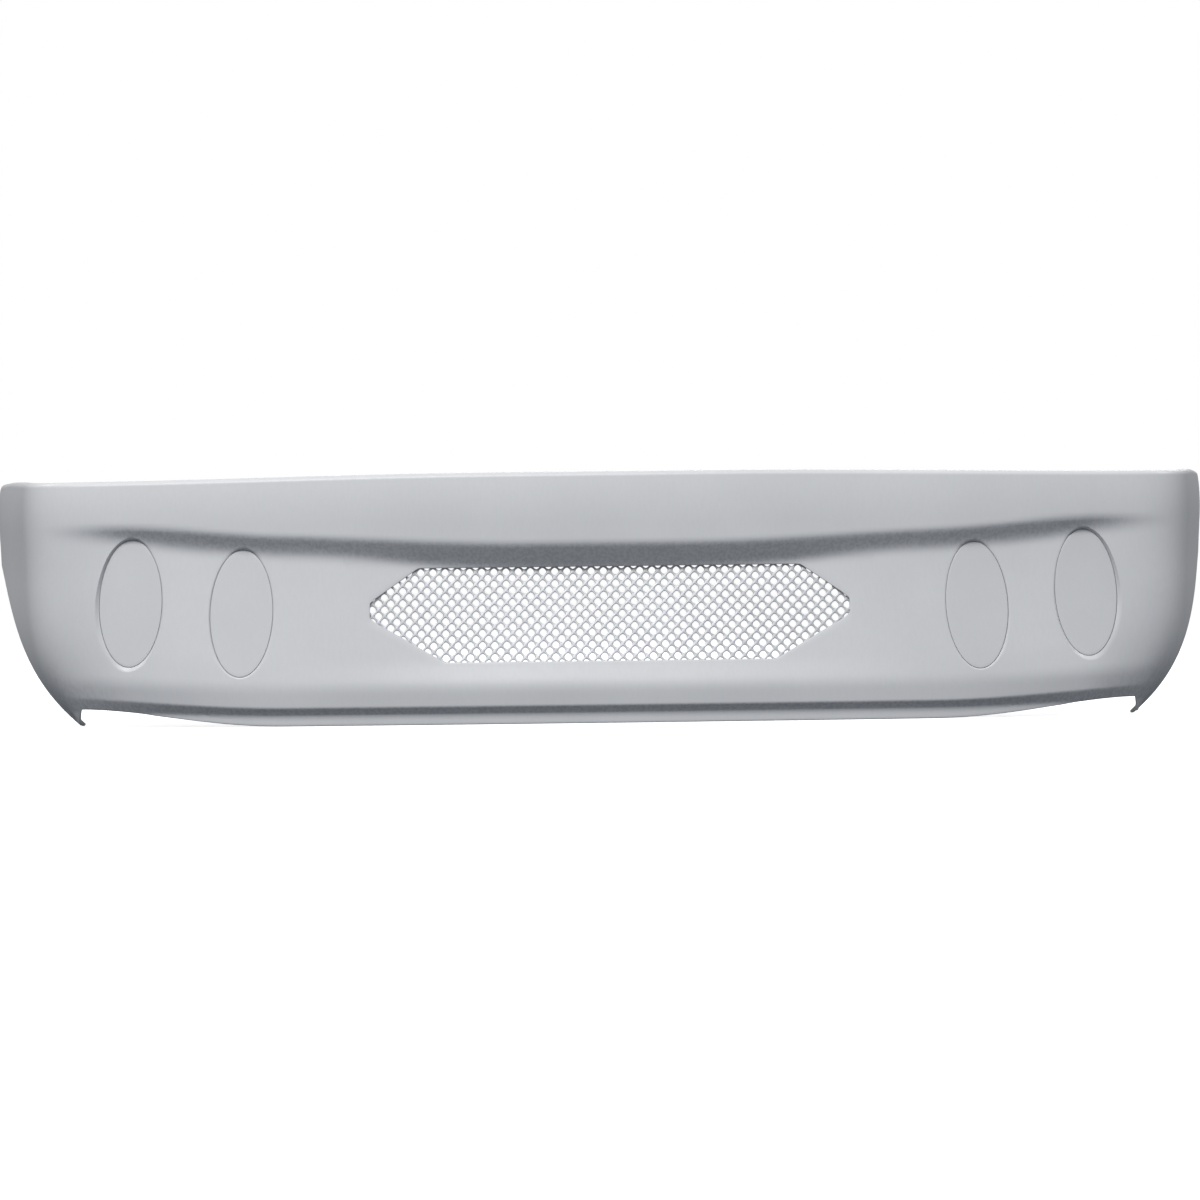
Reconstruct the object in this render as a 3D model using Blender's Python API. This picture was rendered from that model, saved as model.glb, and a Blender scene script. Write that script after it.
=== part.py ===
"""Front bumper cover: moulded skin, mesh grille, four lamp blanking covers and their fixings.

Metres, Z up.  The front of the bumper faces -Y and X runs across the car.
"""
import math

import bmesh
import bpy
import numpy as np
from mathutils import Vector
from mathutils.geometry import delaunay_2d_cdt

# Overall form
HEIGHT = 0.328
FRONT_Y = -0.2122
SKIN_T = 0.0035
GAP = 0.0003
SIDE_REACH = 1.120

# Plan curve: heading in degrees at arc lengths measured from the centre line
PLAN_ARC = (0.0, 0.709, 0.800, 1.16)
PLAN_HEADING = (0.0, 7.8, 77.0, 80.5)
PLAN_SOFT = 0.034
PLAN_STEPS = 4000

# Front profile: heights of the feature lines at the centre
STRIP_TOP_Z = 0.0147
TURN_Z = 0.0231
EDGE_Z = 0.050
FOOT_Z = 0.080
BROW_Z = 0.234
BROW_RISE = 0.0135
BROW_RISE_SPAN = (0.10, 0.50)
BROW_RISE_END = 0.014
BROW_RISE_END_SPAN = (0.42, 0.66)
CROWN_Z = 0.262
LOWER_RISE = (0.006, 0.018, 0.013)
LOWER_RISE_FROM = 0.42
LOWER_RISE_TO = 0.78
FOOT_RISE = 0.010
BELOW_Z = -0.02
ABOVE_Z = 0.36

# Front profile: depths behind the plan curve
STRIP_DEPTH = 0.016
STRIP_SINK = 0.010
TURN_DEPTH = 0.003
TURN_SINK = 0.006
FOOT_DEPTH = 0.0085
FOOT_DEPTH_END = 0.0032
FOOT_SPAN = (0.10, 0.50)
RECESS_DEPTH = 0.034
RECESS_DEPTH_END = 0.0225
RECESS_SWEEP = 0.097
RECESS_SOFT = 0.004
BROW_DEPTH = 0.0010
CROWN_DEPTH = 0.005
BROW_SLOPE = 0.82
BROW_SLOPE_END = 0.66
BROW_MIN = 0.006
FLOOR_SOFT = 0.009
FLOOR_SOFT_END = 0.013
FLOOR_SPAN = (0.22, 0.42)
BROW_SOFT = 0.006
LOWER_SOFTS = (0.0, 0.002, 0.003, 0.012, 0.010)
RECESS_FADE_FROM = 0.54
RECESS_FADE_TO = 0.80

# Side profile and wheel-arch edge
TUCK_DEPTH = 0.074
TUCK_TOP = 0.250
TUCK_POWER = 4.0
SIDE_TAPER = 0.005
SIDE_TAPER_LOW = 0.190
SIDE_BLEND_FROM = 0.62
SIDE_BLEND_TO = 0.78
LIP_RISE = 0.023
LIP_RISE_FROM = 0.42
LIP_RISE_TO = 0.70
FANG_ROOT_ARC = 0.703
FANG_FRONT_ARC = 0.7225
FANG_REST_ARC = 0.800
FANG_HEEL_ARC = 0.829
FANG_TOE_Z = 0.004
ARCH_TOP_Z = 0.215
ARCH_POWER = 0.60
ARCH_CORNER_R = 0.016

# Top mounting flange
FOLD_R = 0.007
FLANGE_W = 0.030
FLANGE_W_SIDE = 0.010
FLANGE_TAPER_FROM = 0.66
FLANGE_TAPER_TO = 0.82
TOP_CROWN = 0.006
TOP_CROWN_FROM = 0.15
TOP_CROWN_TO = 0.72
SIDE_TOP_RISE = 0.005
SIDE_TOP_FROM = 0.74
SIDE_TOP_TO = 0.98

# Grille aperture outline, half widths and heights
GRILLE_TIP_X = 0.313
GRILLE_TOP_X = 0.2495
GRILLE_FOOT_X = 0.2155
GRILLE_TOP_Z = 0.204
GRILLE_FOOT_Z = 0.081
GRILLE_TIP_LOW_Z = 0.138
GRILLE_TIP_HIGH_Z = 0.160
GRILLE_CORNER_R = 0.008

# Lamp blanking covers: centre, semi-axes and lean of the top towards the middle
LAMP_OUTER = (0.626, 0.1625)
LAMP_INNER = (0.481, 0.148)
LAMP_A = 0.0415
LAMP_B = 0.0835
LAMP_LEAN = 2.5
LAMP_STEP = 0.0006
LAMP_LEDGE = 0.004
COVER_T = 0.003
COVER_GAP = 0.0005
LAMP_EDGE = 0.0012
LAMP_SCOOP = 0.006
LAMP_SCOOP_TURN = 38.0
LAMP_DRAFT = 0.3
LAMP_DRAFT_MAX = 0.003
LAMP_PITCH = 0.09
LAMP_PITCH_INNER = 0.125
LAMP_YAW = 5.0

# Grid of the skin: stations along the plan curve and up the profile
GRILLE_BLOCK_S = 0.350
GRILLE_BLOCK_STEPS = (0.0105, 0.085, 0.165, 0.2405, 0.2685, 0.310)
LAMP_BLOCK_S = 0.056
LAMP_COLUMNS = 4
CORNER_STEPS = (0.703, 0.713, 0.7225, 0.745, 0.768, 0.790, 0.810, 0.829, 0.842, 0.866)
SIDE_STEPS = (0.915, 0.990)
FACE_ROWS = (0.0, 0.0135, 0.0190, 0.0250, 0.056, 0.068, 0.115, 0.160, 0.205, 0.222)
FACE_ROWS += (0.236, 0.248, 0.262, 0.321)
FOLD_ROWS = (0.5, 1.0)
FLANGE_ROWS = (0.20, 0.50, 0.80, 1.0)
ROW_KNEE = 0.056
ROW_SPLIT = 0.022
GRILLE_ROWS = (0.068, 0.222)
LAMP_OUTER_ROWS = (0.068, 0.262)
LAMP_INNER_ROWS = (0.056, 0.248)
RING_STEPS = (0.5, 1.0)
FLANGE_HOLE_R = 0.0045
FLANGE_HOLES = ((-0.0105, 0.0105), (0.2405, 0.2685), (-0.2685, -0.2405))
FLANGE_HOLE_MID = 0.2545

# Mesh grille
MESH_PITCH = 0.0318
MESH_STRAND = 0.0042
MESH_T = 0.0014
MESH_BORDER = 0.010
MESH_OPEN = 0.003
MESH_MIN_HOLE = 0.000004
PLATE_MERGE = 0.000001
SHEET_LOW_Z = 0.100
SHEET_HIGH_Z = 0.185
SHEET_STAND = 0.0007

# Grille retaining frame
FRAME_T = 0.003
FRAME_IN = 0.002
FRAME_OUT = 0.015
FRAME_EAR = 0.014
FRAME_EAR_HALF = 0.013
FRAME_STUD_OUT = 0.0210
FRAME_PARTS = 12
RING_LENGTH = 0.042

# Bonded studs and nuts
STUD_BASE_R = 0.009
STUD_BASE_T = 0.0012
SMALL_STUD = (0.0025, 0.0140, 0.0040, 0.0040)
LARGE_STUD = (0.0030, 0.0180, 0.0050, 0.0050)
HOLE_CLEAR = 0.0005
THREAD_CLEAR = 0.0003
ROUND_STEPS = 8
DRILL_STEPS = 12

# Lamp cover studs and straps
COVER_BEVEL = 0.0006
COVER_RINGS = (0.15, 0.55)
COVER_CROWN = 0.0004
COVER_BOSS = 0.0008
COVER_STUD = (0.0030, 0.0195, 0.0050, 0.0050)
STRAP_HALF = 0.0405
STRAP_WIDTH = 0.018
STRAP_T = 0.0025

# Upper mounting rail and its nuts
RAIL_HALF = 0.560
RAIL_IN = 0.0045
RAIL_OUT = 0.0265
RAIL_T = 0.003
RAIL_STATIONS = 16
RAIL_NUT = (0.0065, 0.0042, 0.0065)
RAIL_HOLE_W = 0.0150
RAIL_NAMES = ("far_left", "left", "middle", "right", "far_right")

# Beam brackets
BEAM_X = 0.382
BEAM_Z = 0.142
BEAM_HALF_W = 0.029
BEAM_HALF_H = 0.055
BEAM_T = 0.004
BEAM_REAR_Y = 0.010
BEAM_STUD_Z = 0.036
BEAM_BOLT_Z = 0.030
BEAM_BOLT_R = 0.00525

# Side brackets
SIDE_S = 1.072
SIDE_Z = 0.262
SIDE_HALF_W = 0.026
SIDE_HALF_H = 0.026
SIDE_T = 0.003
SIDE_TAB = 0.038
SIDE_STUD_S = 0.013
SIDE_BOLT_R = 0.0045

SIDES = ((-1, "left"), (1, "right"))


# ---------------------------------------------------------------- form of the skin
def blend(t, low, high):
    """Smooth step from 0 at low to 1 at high."""
    u = np.clip((t - low) / (high - low), 0.0, 1.0)
    return u * u * (3.0 - 2.0 * u)


def soft_ramp(t, soft):
    """Zero below -soft, t above soft, with a smooth curve between."""
    u = np.clip(t, -soft, soft)
    curve = (u + soft) ** 3 * (3.0 * soft - u) / (16.0 * soft ** 3)
    return np.where(t > soft, t, curve)


def soft_line(t, knots, values, softs):
    """A line through knots whose inner corners are rounded by their softness."""
    slopes = [
        (values[k + 1] - values[k]) / (knots[k + 1] - knots[k])
        for k in range(len(knots) - 1)
    ]
    total = values[0] + slopes[0] * (t - knots[0])
    for k in range(1, len(slopes)):
        turn = slopes[k] - slopes[k - 1]
        total = total + turn * soft_ramp(t - knots[k], softs[k])
    return total


def plan_table():
    """Arc length, x, y and heading along one half of the plan curve."""
    arc = np.linspace(0.0, SIDE_REACH + 0.02, PLAN_STEPS)
    heading = np.radians(soft_line(arc, PLAN_ARC, PLAN_HEADING, [PLAN_SOFT] * 4))
    heading = heading - heading[0]
    step = arc[1] - arc[0]
    mid = 0.5 * (heading[1:] + heading[:-1])
    x = np.concatenate(([0.0], np.cumsum(np.cos(mid)) * step))
    y = np.concatenate(([0.0], np.cumsum(np.sin(mid)) * step))
    return arc, x, FRONT_Y + y, heading


PLAN = plan_table()


def plan_at(s):
    """Point and inward direction of the plan curve at signed arc length s."""
    side = np.where(s < 0.0, -1.0, 1.0)
    a = np.abs(s)
    x = np.interp(a, PLAN[0], PLAN[1]) * side
    y = np.interp(a, PLAN[0], PLAN[2])
    heading = np.interp(a, PLAN[0], PLAN[3])
    return x, y, -np.sin(heading) * side, np.cos(heading)


def face_depth(s, z):
    """Depth of the outer face behind the plan curve."""
    a = np.abs(s)
    fade = 1.0 - blend(a, RECESS_FADE_FROM, RECESS_FADE_TO)
    rise = blend(a, LOWER_RISE_FROM, LOWER_RISE_TO)
    swept = RECESS_DEPTH - RECESS_SWEEP * a * a - RECESS_DEPTH_END
    deep = (RECESS_DEPTH_END + soft_ramp(swept, RECESS_SOFT)) * fade
    foot = FOOT_DEPTH + (FOOT_DEPTH_END - FOOT_DEPTH) * blend(a, *FOOT_SPAN)
    brow_z = BROW_Z + BROW_RISE * blend(a, *BROW_RISE_SPAN)
    brow_z = brow_z + BROW_RISE_END * blend(a, *BROW_RISE_END_SPAN)
    outer = blend(a, *FLOOR_SPAN)
    slope = BROW_SLOPE + (BROW_SLOPE_END - BROW_SLOPE) * outer
    floor_z = brow_z - BROW_MIN - (deep - BROW_DEPTH * fade) * slope
    knots = (
        BELOW_Z + 0.0 * a,
        STRIP_TOP_Z + LOWER_RISE[0] * rise,
        TURN_Z + LOWER_RISE[1] * rise,
        EDGE_Z + LOWER_RISE[2] * rise,
        FOOT_Z + LOWER_RISE[2] * rise + FOOT_RISE * rise,
        floor_z,
        brow_z,
        ABOVE_Z + 0.0 * a,
    )
    strip = STRIP_DEPTH + STRIP_SINK * rise
    depths = (
        strip,
        strip,
        TURN_DEPTH + TURN_SINK * rise,
        0.0 * a,
        foot * fade,
        deep,
        BROW_DEPTH * fade,
        0.0 * a,
    )
    floor_soft = FLOOR_SOFT + (FLOOR_SOFT_END - FLOOR_SOFT) * outer
    softs = (*LOWER_SOFTS, floor_soft, BROW_SOFT)
    front = soft_line(z, knots, depths, softs)
    tuck = TUCK_DEPTH * np.clip((TUCK_TOP - z) / TUCK_TOP, 0.0, None) ** TUCK_POWER
    tuck = tuck + SIDE_TAPER * (1.0 - blend(z, SIDE_TAPER_LOW, HEIGHT))
    side_share = blend(a, SIDE_BLEND_FROM, SIDE_BLEND_TO)
    crown = CROWN_DEPTH * np.clip((z - CROWN_Z) / (HEIGHT - CROWN_Z), 0.0, None) ** 2
    return front * (1.0 - side_share) + tuck * side_share + crown


def top_z(s):
    """Height of the top edge: a slight crown and a rounded rear corner."""
    a = np.abs(s)
    crown = TOP_CROWN * blend(a, TOP_CROWN_FROM, TOP_CROWN_TO)
    crown = crown - SIDE_TOP_RISE * blend(a, SIDE_TOP_FROM, SIDE_TOP_TO)
    past = np.clip(a - (SIDE_REACH - ARCH_CORNER_R), 0.0, ARCH_CORNER_R)
    corner = ARCH_CORNER_R - np.sqrt(ARCH_CORNER_R ** 2 - past ** 2)
    return HEIGHT - crown - corner


def bottom_z(s):
    """Height of the lower edge: lip, notch, wheel-arch fang and wheel arch."""
    a = np.abs(s)
    lip = LIP_RISE * blend(a, LIP_RISE_FROM, LIP_RISE_TO) ** 1.2
    drop = blend(a, FANG_ROOT_ARC, FANG_FRONT_ARC)
    toe = FANG_TOE_Z * (1.0 - blend(a, FANG_FRONT_ARC, FANG_REST_ARC))
    run = np.clip((a - FANG_HEEL_ARC) / (SIDE_REACH - FANG_HEEL_ARC), 0.0, 1.0)
    return lip * (1.0 - drop) + toe * drop + ARCH_TOP_Z * run ** ARCH_POWER


def outer_point(s, v):
    """Outer surface at arc length s; v is the height, then the length round the fold."""
    s, v = np.broadcast_arrays(np.asarray(s, float), np.asarray(v, float))
    edge = top_z(s) - FOLD_R
    bend = np.clip((v - edge) / FOLD_R, 0.0, math.pi / 2)
    past = np.clip(v - edge - FOLD_R * math.pi / 2, 0.0, None)
    face_z = np.minimum(v, edge)
    depth = face_depth(s, face_z) + FOLD_R * (1.0 - np.cos(bend)) + past
    x, y, nx, ny = plan_at(s)
    return np.stack((x + nx * depth, y + ny * depth, face_z + FOLD_R * np.sin(bend)), -1)


def outward(s, v):
    """Unit normal of the outer surface."""
    h = 0.0002
    along = outer_point(s + h, v) - outer_point(s - h, v)
    up = outer_point(s, v + h) - outer_point(s, v - h)
    normal = np.cross(along, up)
    return normal / np.linalg.norm(normal, axis=-1, keepdims=True)


def inner_point(s, v):
    """Inner surface, one skin thickness behind the outer one."""
    return outer_point(s, v) - SKIN_T * outward(s, v)


def arc_at(x, z):
    """Arc length at which the outer face has this x at height z."""
    s = np.array(x, float)
    for _ in range(8):
        s = s + (x - outer_point(s, z)[..., 0])
    return s


def face_y(x, z):
    """Outer face as a height field over the front view."""
    return outer_point(arc_at(x, z), z)[..., 1]


def back_y(x, z):
    """Inner face as a height field over the front view."""
    h = 0.001
    slope_x = (face_y(x + h, z) - face_y(x - h, z)) / (2 * h)
    slope_z = (face_y(x, z + h) - face_y(x, z - h)) / (2 * h)
    return face_y(x, z) + SKIN_T * np.sqrt(1.0 + slope_x ** 2 + slope_z ** 2)


# ---------------------------------------------------------------- outlines
def rounded_outline(corners, radius, steps):
    """Closed outline with each corner replaced by an arc, as points and arc middles."""
    points = []
    middles = []
    count = len(corners)
    for k in range(count):
        here = np.array(corners[k])
        before = np.array(corners[k - 1]) - here
        after = np.array(corners[(k + 1) % count]) - here
        before = before / np.linalg.norm(before)
        after = after / np.linalg.norm(after)
        half = math.acos(float(np.clip(before @ after, -1.0, 1.0))) / 2
        reach = radius / math.tan(half)
        start = here + before * reach
        end = here + after * reach
        inward = (before + after) / np.linalg.norm(before + after)
        centre = here + inward * radius / math.sin(half)
        turn0 = math.atan2(*(start - centre)[::-1])
        turn = math.atan2(*(end - centre)[::-1]) - turn0
        turn = (turn + math.pi) % (2 * math.pi) - math.pi
        middles.append(len(points) + steps // 2)
        for i in range(steps + 1):
            angle = turn0 + turn * i / steps
            points.append(centre + radius * np.array((math.cos(angle), math.sin(angle))))
    return np.array(points), middles


def grille_corners(grow=0.0):
    """Corners of the grille aperture, from the lower left round, pushed outwards."""
    half = [
        (GRILLE_FOOT_X, GRILLE_FOOT_Z),
        (GRILLE_TIP_X, GRILLE_TIP_LOW_Z),
        (GRILLE_TIP_X, GRILLE_TIP_HIGH_Z),
        (GRILLE_TOP_X, GRILLE_TOP_Z),
    ]
    mirrored = [(-x, z) for x, z in reversed(half)]
    corners = np.array(mirrored[-1:] + half + mirrored[:-1])
    along = np.roll(corners, -1, axis=0) - corners
    along = along / np.linalg.norm(along, axis=1, keepdims=True)
    after = np.stack((along[:, 1], -along[:, 0]), -1)
    before = np.roll(after, 1, axis=0)
    meet = 1.0 + np.sum(before * after, axis=1, keepdims=True)
    return corners + grow * (before + after) / meet


def lamp_list():
    """Name, side, centre and scoop width of the four lamp openings."""
    lamps = []
    for side, word in SIDES:
        lamps.append(("outer_" + word, side, side * LAMP_OUTER[0], LAMP_OUTER[1], LAMP_SCOOP))
        lamps.append(("inner_" + word, side, side * LAMP_INNER[0], LAMP_INNER[1], 0.0))
    return lamps


def ellipse_at(lamp, angle, grow):
    """Points of a lamp outline in the front view, grown outwards."""
    _, side, cx, cz, _ = lamp
    lean = math.radians(LAMP_LEAN) * side
    u = (LAMP_A + grow) * np.cos(angle)
    w = (LAMP_B + grow) * np.sin(angle)
    return (
        cx + u * math.cos(lean) - w * math.sin(lean),
        cz + u * math.sin(lean) + w * math.cos(lean),
    )


def scoop_at(lamp, angle, step):
    """Width of the sloped edge round a lamp opening: wide at the lower outboard side."""
    toward = -math.pi / 2 + lamp[1] * math.radians(LAMP_SCOOP_TURN)
    scoop = lamp[4] * np.clip(np.cos(angle - toward), 0.0, None) ** 2
    return LAMP_EDGE + np.clip(LAMP_DRAFT * step, 0.0, LAMP_DRAFT_MAX) + scoop


def lamp_plane(lamp):
    """Plane of a cover's front face: just behind the surface all round its edge."""
    _, side, cx, cz, _ = lamp
    angle = np.linspace(0.0, 2 * math.pi, 73)[:-1]
    x, z = ellipse_at(lamp, angle, 0.0)
    edge = face_y(x, z)
    slope_z = LAMP_PITCH if lamp[4] else LAMP_PITCH_INNER
    slope_x = side * math.tan(math.radians(LAMP_YAW))
    level = np.max(edge - slope_x * (x - cx) - slope_z * (z - cz)) + LAMP_STEP
    return level, slope_x, slope_z


def plane_y(plane, lamp, x, z):
    """Height field of a lamp plane."""
    return plane[0] + plane[1] * (x - lamp[2]) + plane[2] * (z - lamp[3])


# ---------------------------------------------------------------- objects
def make_material(name, colour, roughness, metallic=0.0):
    """A plain Principled material."""
    material = bpy.data.materials.new(name)
    material.use_nodes = True
    shader = material.node_tree.nodes["Principled BSDF"]
    shader.inputs["Base Color"].default_value = (*colour, 1.0)
    shader.inputs["Roughness"].default_value = roughness
    shader.inputs["Metallic"].default_value = metallic
    return material


def add_object(name, points, faces, material, smooth=False):
    """One named object from points and faces, with its faces turned outwards."""
    mesh = bpy.data.meshes.new(name)
    mesh.from_pydata([tuple(map(float, p)) for p in points], [], faces)
    bm = bmesh.new()
    bm.from_mesh(mesh)
    bmesh.ops.recalc_face_normals(bm, faces=bm.faces)
    if bm.calc_volume(signed=True) < 0.0:
        bmesh.ops.reverse_faces(bm, faces=bm.faces)
    for face in bm.faces:
        face.smooth = smooth and len(face.verts) <= 4
    bm.to_mesh(mesh)
    bm.free()
    mesh.materials.append(material)
    obj = bpy.data.objects.new(name, mesh)
    bpy.context.scene.collection.objects.link(obj)
    return obj


# ---------------------------------------------------------------- skin
def spread(low, high, count):
    """Evenly spaced stations from low to high, both included."""
    return [low + (high - low) * k / count for k in range(count + 1)]


def lamp_span(x):
    """Arc-length range of a lamp block on the right-hand side."""
    s = float(arc_at(np.array(x), 0.15))
    return s - LAMP_BLOCK_S, s + LAMP_BLOCK_S


def skin_columns():
    """Arc lengths of the grid columns."""
    half = [0.0, *GRILLE_BLOCK_STEPS, GRILLE_BLOCK_S]
    for x in (LAMP_INNER[0], LAMP_OUTER[0]):
        half += spread(*lamp_span(x), LAMP_COLUMNS)
    half += [*CORNER_STEPS, *SIDE_STEPS]
    start = SIDE_REACH - ARCH_CORNER_R
    half += [start + ARCH_CORNER_R * share for share in (0.0, 0.6, 1.0)]
    return np.array([-s for s in reversed(half[1:])] + half)


def skin_rows(s):
    """Profile stations of the column at arc length s."""
    low = bottom_z(s)
    high = top_z(s) - FOLD_R
    split = np.maximum(ROW_KNEE, low + ROW_SPLIT)
    width = FLANGE_W_SIDE - FLANGE_W
    width = FLANGE_W + width * blend(abs(s), FLANGE_TAPER_FROM, FLANGE_TAPER_TO)
    rows = []
    for z in FACE_ROWS:
        if z <= ROW_KNEE:
            rows.append(low + (split - low) * z / ROW_KNEE)
        else:
            rows.append(split + (high - split) * (z - ROW_KNEE) / (FACE_ROWS[-1] - ROW_KNEE))
    rows += [high + FOLD_R * math.pi / 2 * share for share in FOLD_ROWS]
    rows += [high + FOLD_R * math.pi / 2 + width * share for share in FLANGE_ROWS]
    return rows


def perimeter(i0, i1, j0, j1):
    """Grid nodes round a block, counter-clockwise from its lower left corner."""
    nodes = [(i, j0) for i in range(i0, i1)]
    nodes += [(i1, j) for j in range(j0, j1)]
    nodes += [(i, j1) for i in range(i1, i0, -1)]
    nodes += [(i0, j) for j in range(j1, j0, -1)]
    return nodes


def grille_targets(share_x, share_z, edge):
    """Points of the grille outline met from the edge of the block round it."""
    steps = 6
    outline, middles = rounded_outline(grille_corners(0.0), GRILLE_CORNER_R, steps)
    outline = np.roll(outline, -middles[-1], axis=0)
    q = steps + 1
    chains = {
        "foot": outline[: 3 * q + 1],
        "right": outline[3 * q : 4 * q + 1],
        "top": outline[4 * q : 7 * q + 1][::-1],
        "left": np.vstack((outline[7 * q :], outline[:1]))[::-1],
    }
    targets = []
    for k, name in enumerate(edge):
        chain = chains[name]
        if name in ("foot", "top"):
            x = chain[0, 0] + (chain[-1, 0] - chain[0, 0]) * 0.5 * (share_x[k] + 1.0)
            targets.append((x, np.interp(x, chain[:, 0], chain[:, 1])))
        else:
            z = chain[0, 1] + (chain[-1, 1] - chain[0, 1]) * share_z[k]
            targets.append((np.interp(z, chain[:, 1], chain[:, 0]), z))
    return np.array(targets)


def mix(start, end, share):
    """Straight blend of two arrays."""
    return start + (end - start) * share


def raise_to(height, flat):
    """Front-view points (x, z) placed at the depths of a height field."""
    return np.stack((flat[:, 0], height(flat[:, 0], flat[:, 1]), flat[:, 1]), -1)


def rim_angles(lamp, edge):
    """Angle on a lamp outline that belongs to each point of the block's edge."""
    half = 0.5 * np.ptp(edge, axis=0)
    return np.arctan2((edge[:, 2] - lamp[3]) / half[2], (edge[:, 0] - lamp[2]) / half[0])


def lamp_rings(lamp, outer_edge, inner_edge):
    """Rings from a lamp block's edge to its opening and ledge, on both surfaces."""
    plane = lamp_plane(lamp)
    flat_outer = outer_edge[:, [0, 2]]
    flat_inner = inner_edge[:, [0, 2]]
    angle = rim_angles(lamp, outer_edge)

    def ring(grow):
        return np.stack(ellipse_at(lamp, angle, grow), -1)

    def level(flat, behind):
        return raise_to(lambda x, z: plane_y(plane, lamp, x, z) + behind, flat)

    hole = ring(0.0)
    step = plane_y(plane, lamp, *hole.T) - face_y(*hole.T)
    width = scoop_at(lamp, angle, step)
    ledge = COVER_T + GAP
    outer = [raise_to(face_y, mix(flat_outer, ring(width), k)) for k in RING_STEPS]
    outer.append(level(hole, -0.5 * LAMP_STEP))
    outer.append(level(hole, ledge))
    outer.append(level(ring(-LAMP_LEDGE), ledge))
    behind = ring(SKIN_T + 0.6 * width)
    inner = [raise_to(back_y, mix(flat_inner, behind, k)) for k in RING_STEPS]
    inner.append(level(ring(SKIN_T), ledge + SKIN_T))
    inner.append(level(ring(-LAMP_LEDGE), ledge + SKIN_T))
    return outer, inner


def grille_rings(block, columns, nodes, outer_edge, inner_edge):
    """Rings from the grille block's edge to the aperture, on both surfaces."""
    i0, i1, j0, j1 = block
    edge = []
    for i, j in nodes:
        if j == j0 or j == j1:
            edge.append("foot" if j == j0 else "top")
        else:
            edge.append("left" if i == i0 else "right")
    share_x = [columns[i] / columns[i1] for i, j in nodes]
    low, high = outer_edge[:, 2].min(), outer_edge[:, 2].max()
    share_z = (outer_edge[:, 2] - low) / (high - low)
    target = grille_targets(share_x, share_z, edge)
    outer = [raise_to(face_y, mix(outer_edge[:, [0, 2]], target, k)) for k in RING_STEPS]
    inner = [raise_to(back_y, mix(inner_edge[:, [0, 2]], target, k)) for k in RING_STEPS]
    return outer, inner


def flange_rings(s, v):
    """The round hole in a block of the top flange, on both surfaces."""
    mid_s, mid_v = 0.5 * (s.min() + s.max()), 0.5 * (v.min() + v.max())
    angle = np.arctan2((v - mid_v) / np.ptp(v), (s - mid_s) / np.ptp(s))
    hole_s = mid_s + FLANGE_HOLE_R * np.cos(angle)
    hole_v = mid_v + FLANGE_HOLE_R * np.sin(angle)
    return [outer_point(hole_s, hole_v)], [inner_point(hole_s, hole_v)]


def index_of(values, wanted):
    """Index of the station nearest to a wanted value."""
    return int(np.argmin(np.abs(np.asarray(values) - wanted)))


def skin_blocks(columns):
    """Grid blocks that hold an opening: column and row ranges, kind and data."""
    blocks = []
    rows = [index_of(FACE_ROWS, z) for z in GRILLE_ROWS]
    ends = [index_of(columns, s) for s in (-GRILLE_BLOCK_S, GRILLE_BLOCK_S)]
    blocks.append((ends + rows, "grille", None))
    for lamp in lamp_list():
        low, high = lamp_span(abs(lamp[2]))
        ends = sorted(index_of(columns, s * lamp[1]) for s in (low, high))
        levels = LAMP_OUTER_ROWS if lamp[0].startswith("outer") else LAMP_INNER_ROWS
        rows = [index_of(FACE_ROWS, z) for z in levels]
        blocks.append((ends + rows, "lamp", lamp))
    first = len(FACE_ROWS) + len(FOLD_ROWS)
    for low, high in flange_hole_spans():
        ends = [index_of(columns, s) for s in (low, high)]
        blocks.append((ends + [first, first + len(FLANGE_ROWS) - 2], "hole", None))
    return blocks


def flange_hole_spans():
    """Arc-length ranges of the flange blocks that hold a mounting hole."""
    spans = list(FLANGE_HOLES)
    low, high = lamp_span(LAMP_INNER[0])
    mid = 0.5 * (low + high)
    reach = (high - low) / LAMP_COLUMNS
    spans += [(mid - reach, mid + reach), (-mid - reach, -mid + reach)]
    return spans


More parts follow.
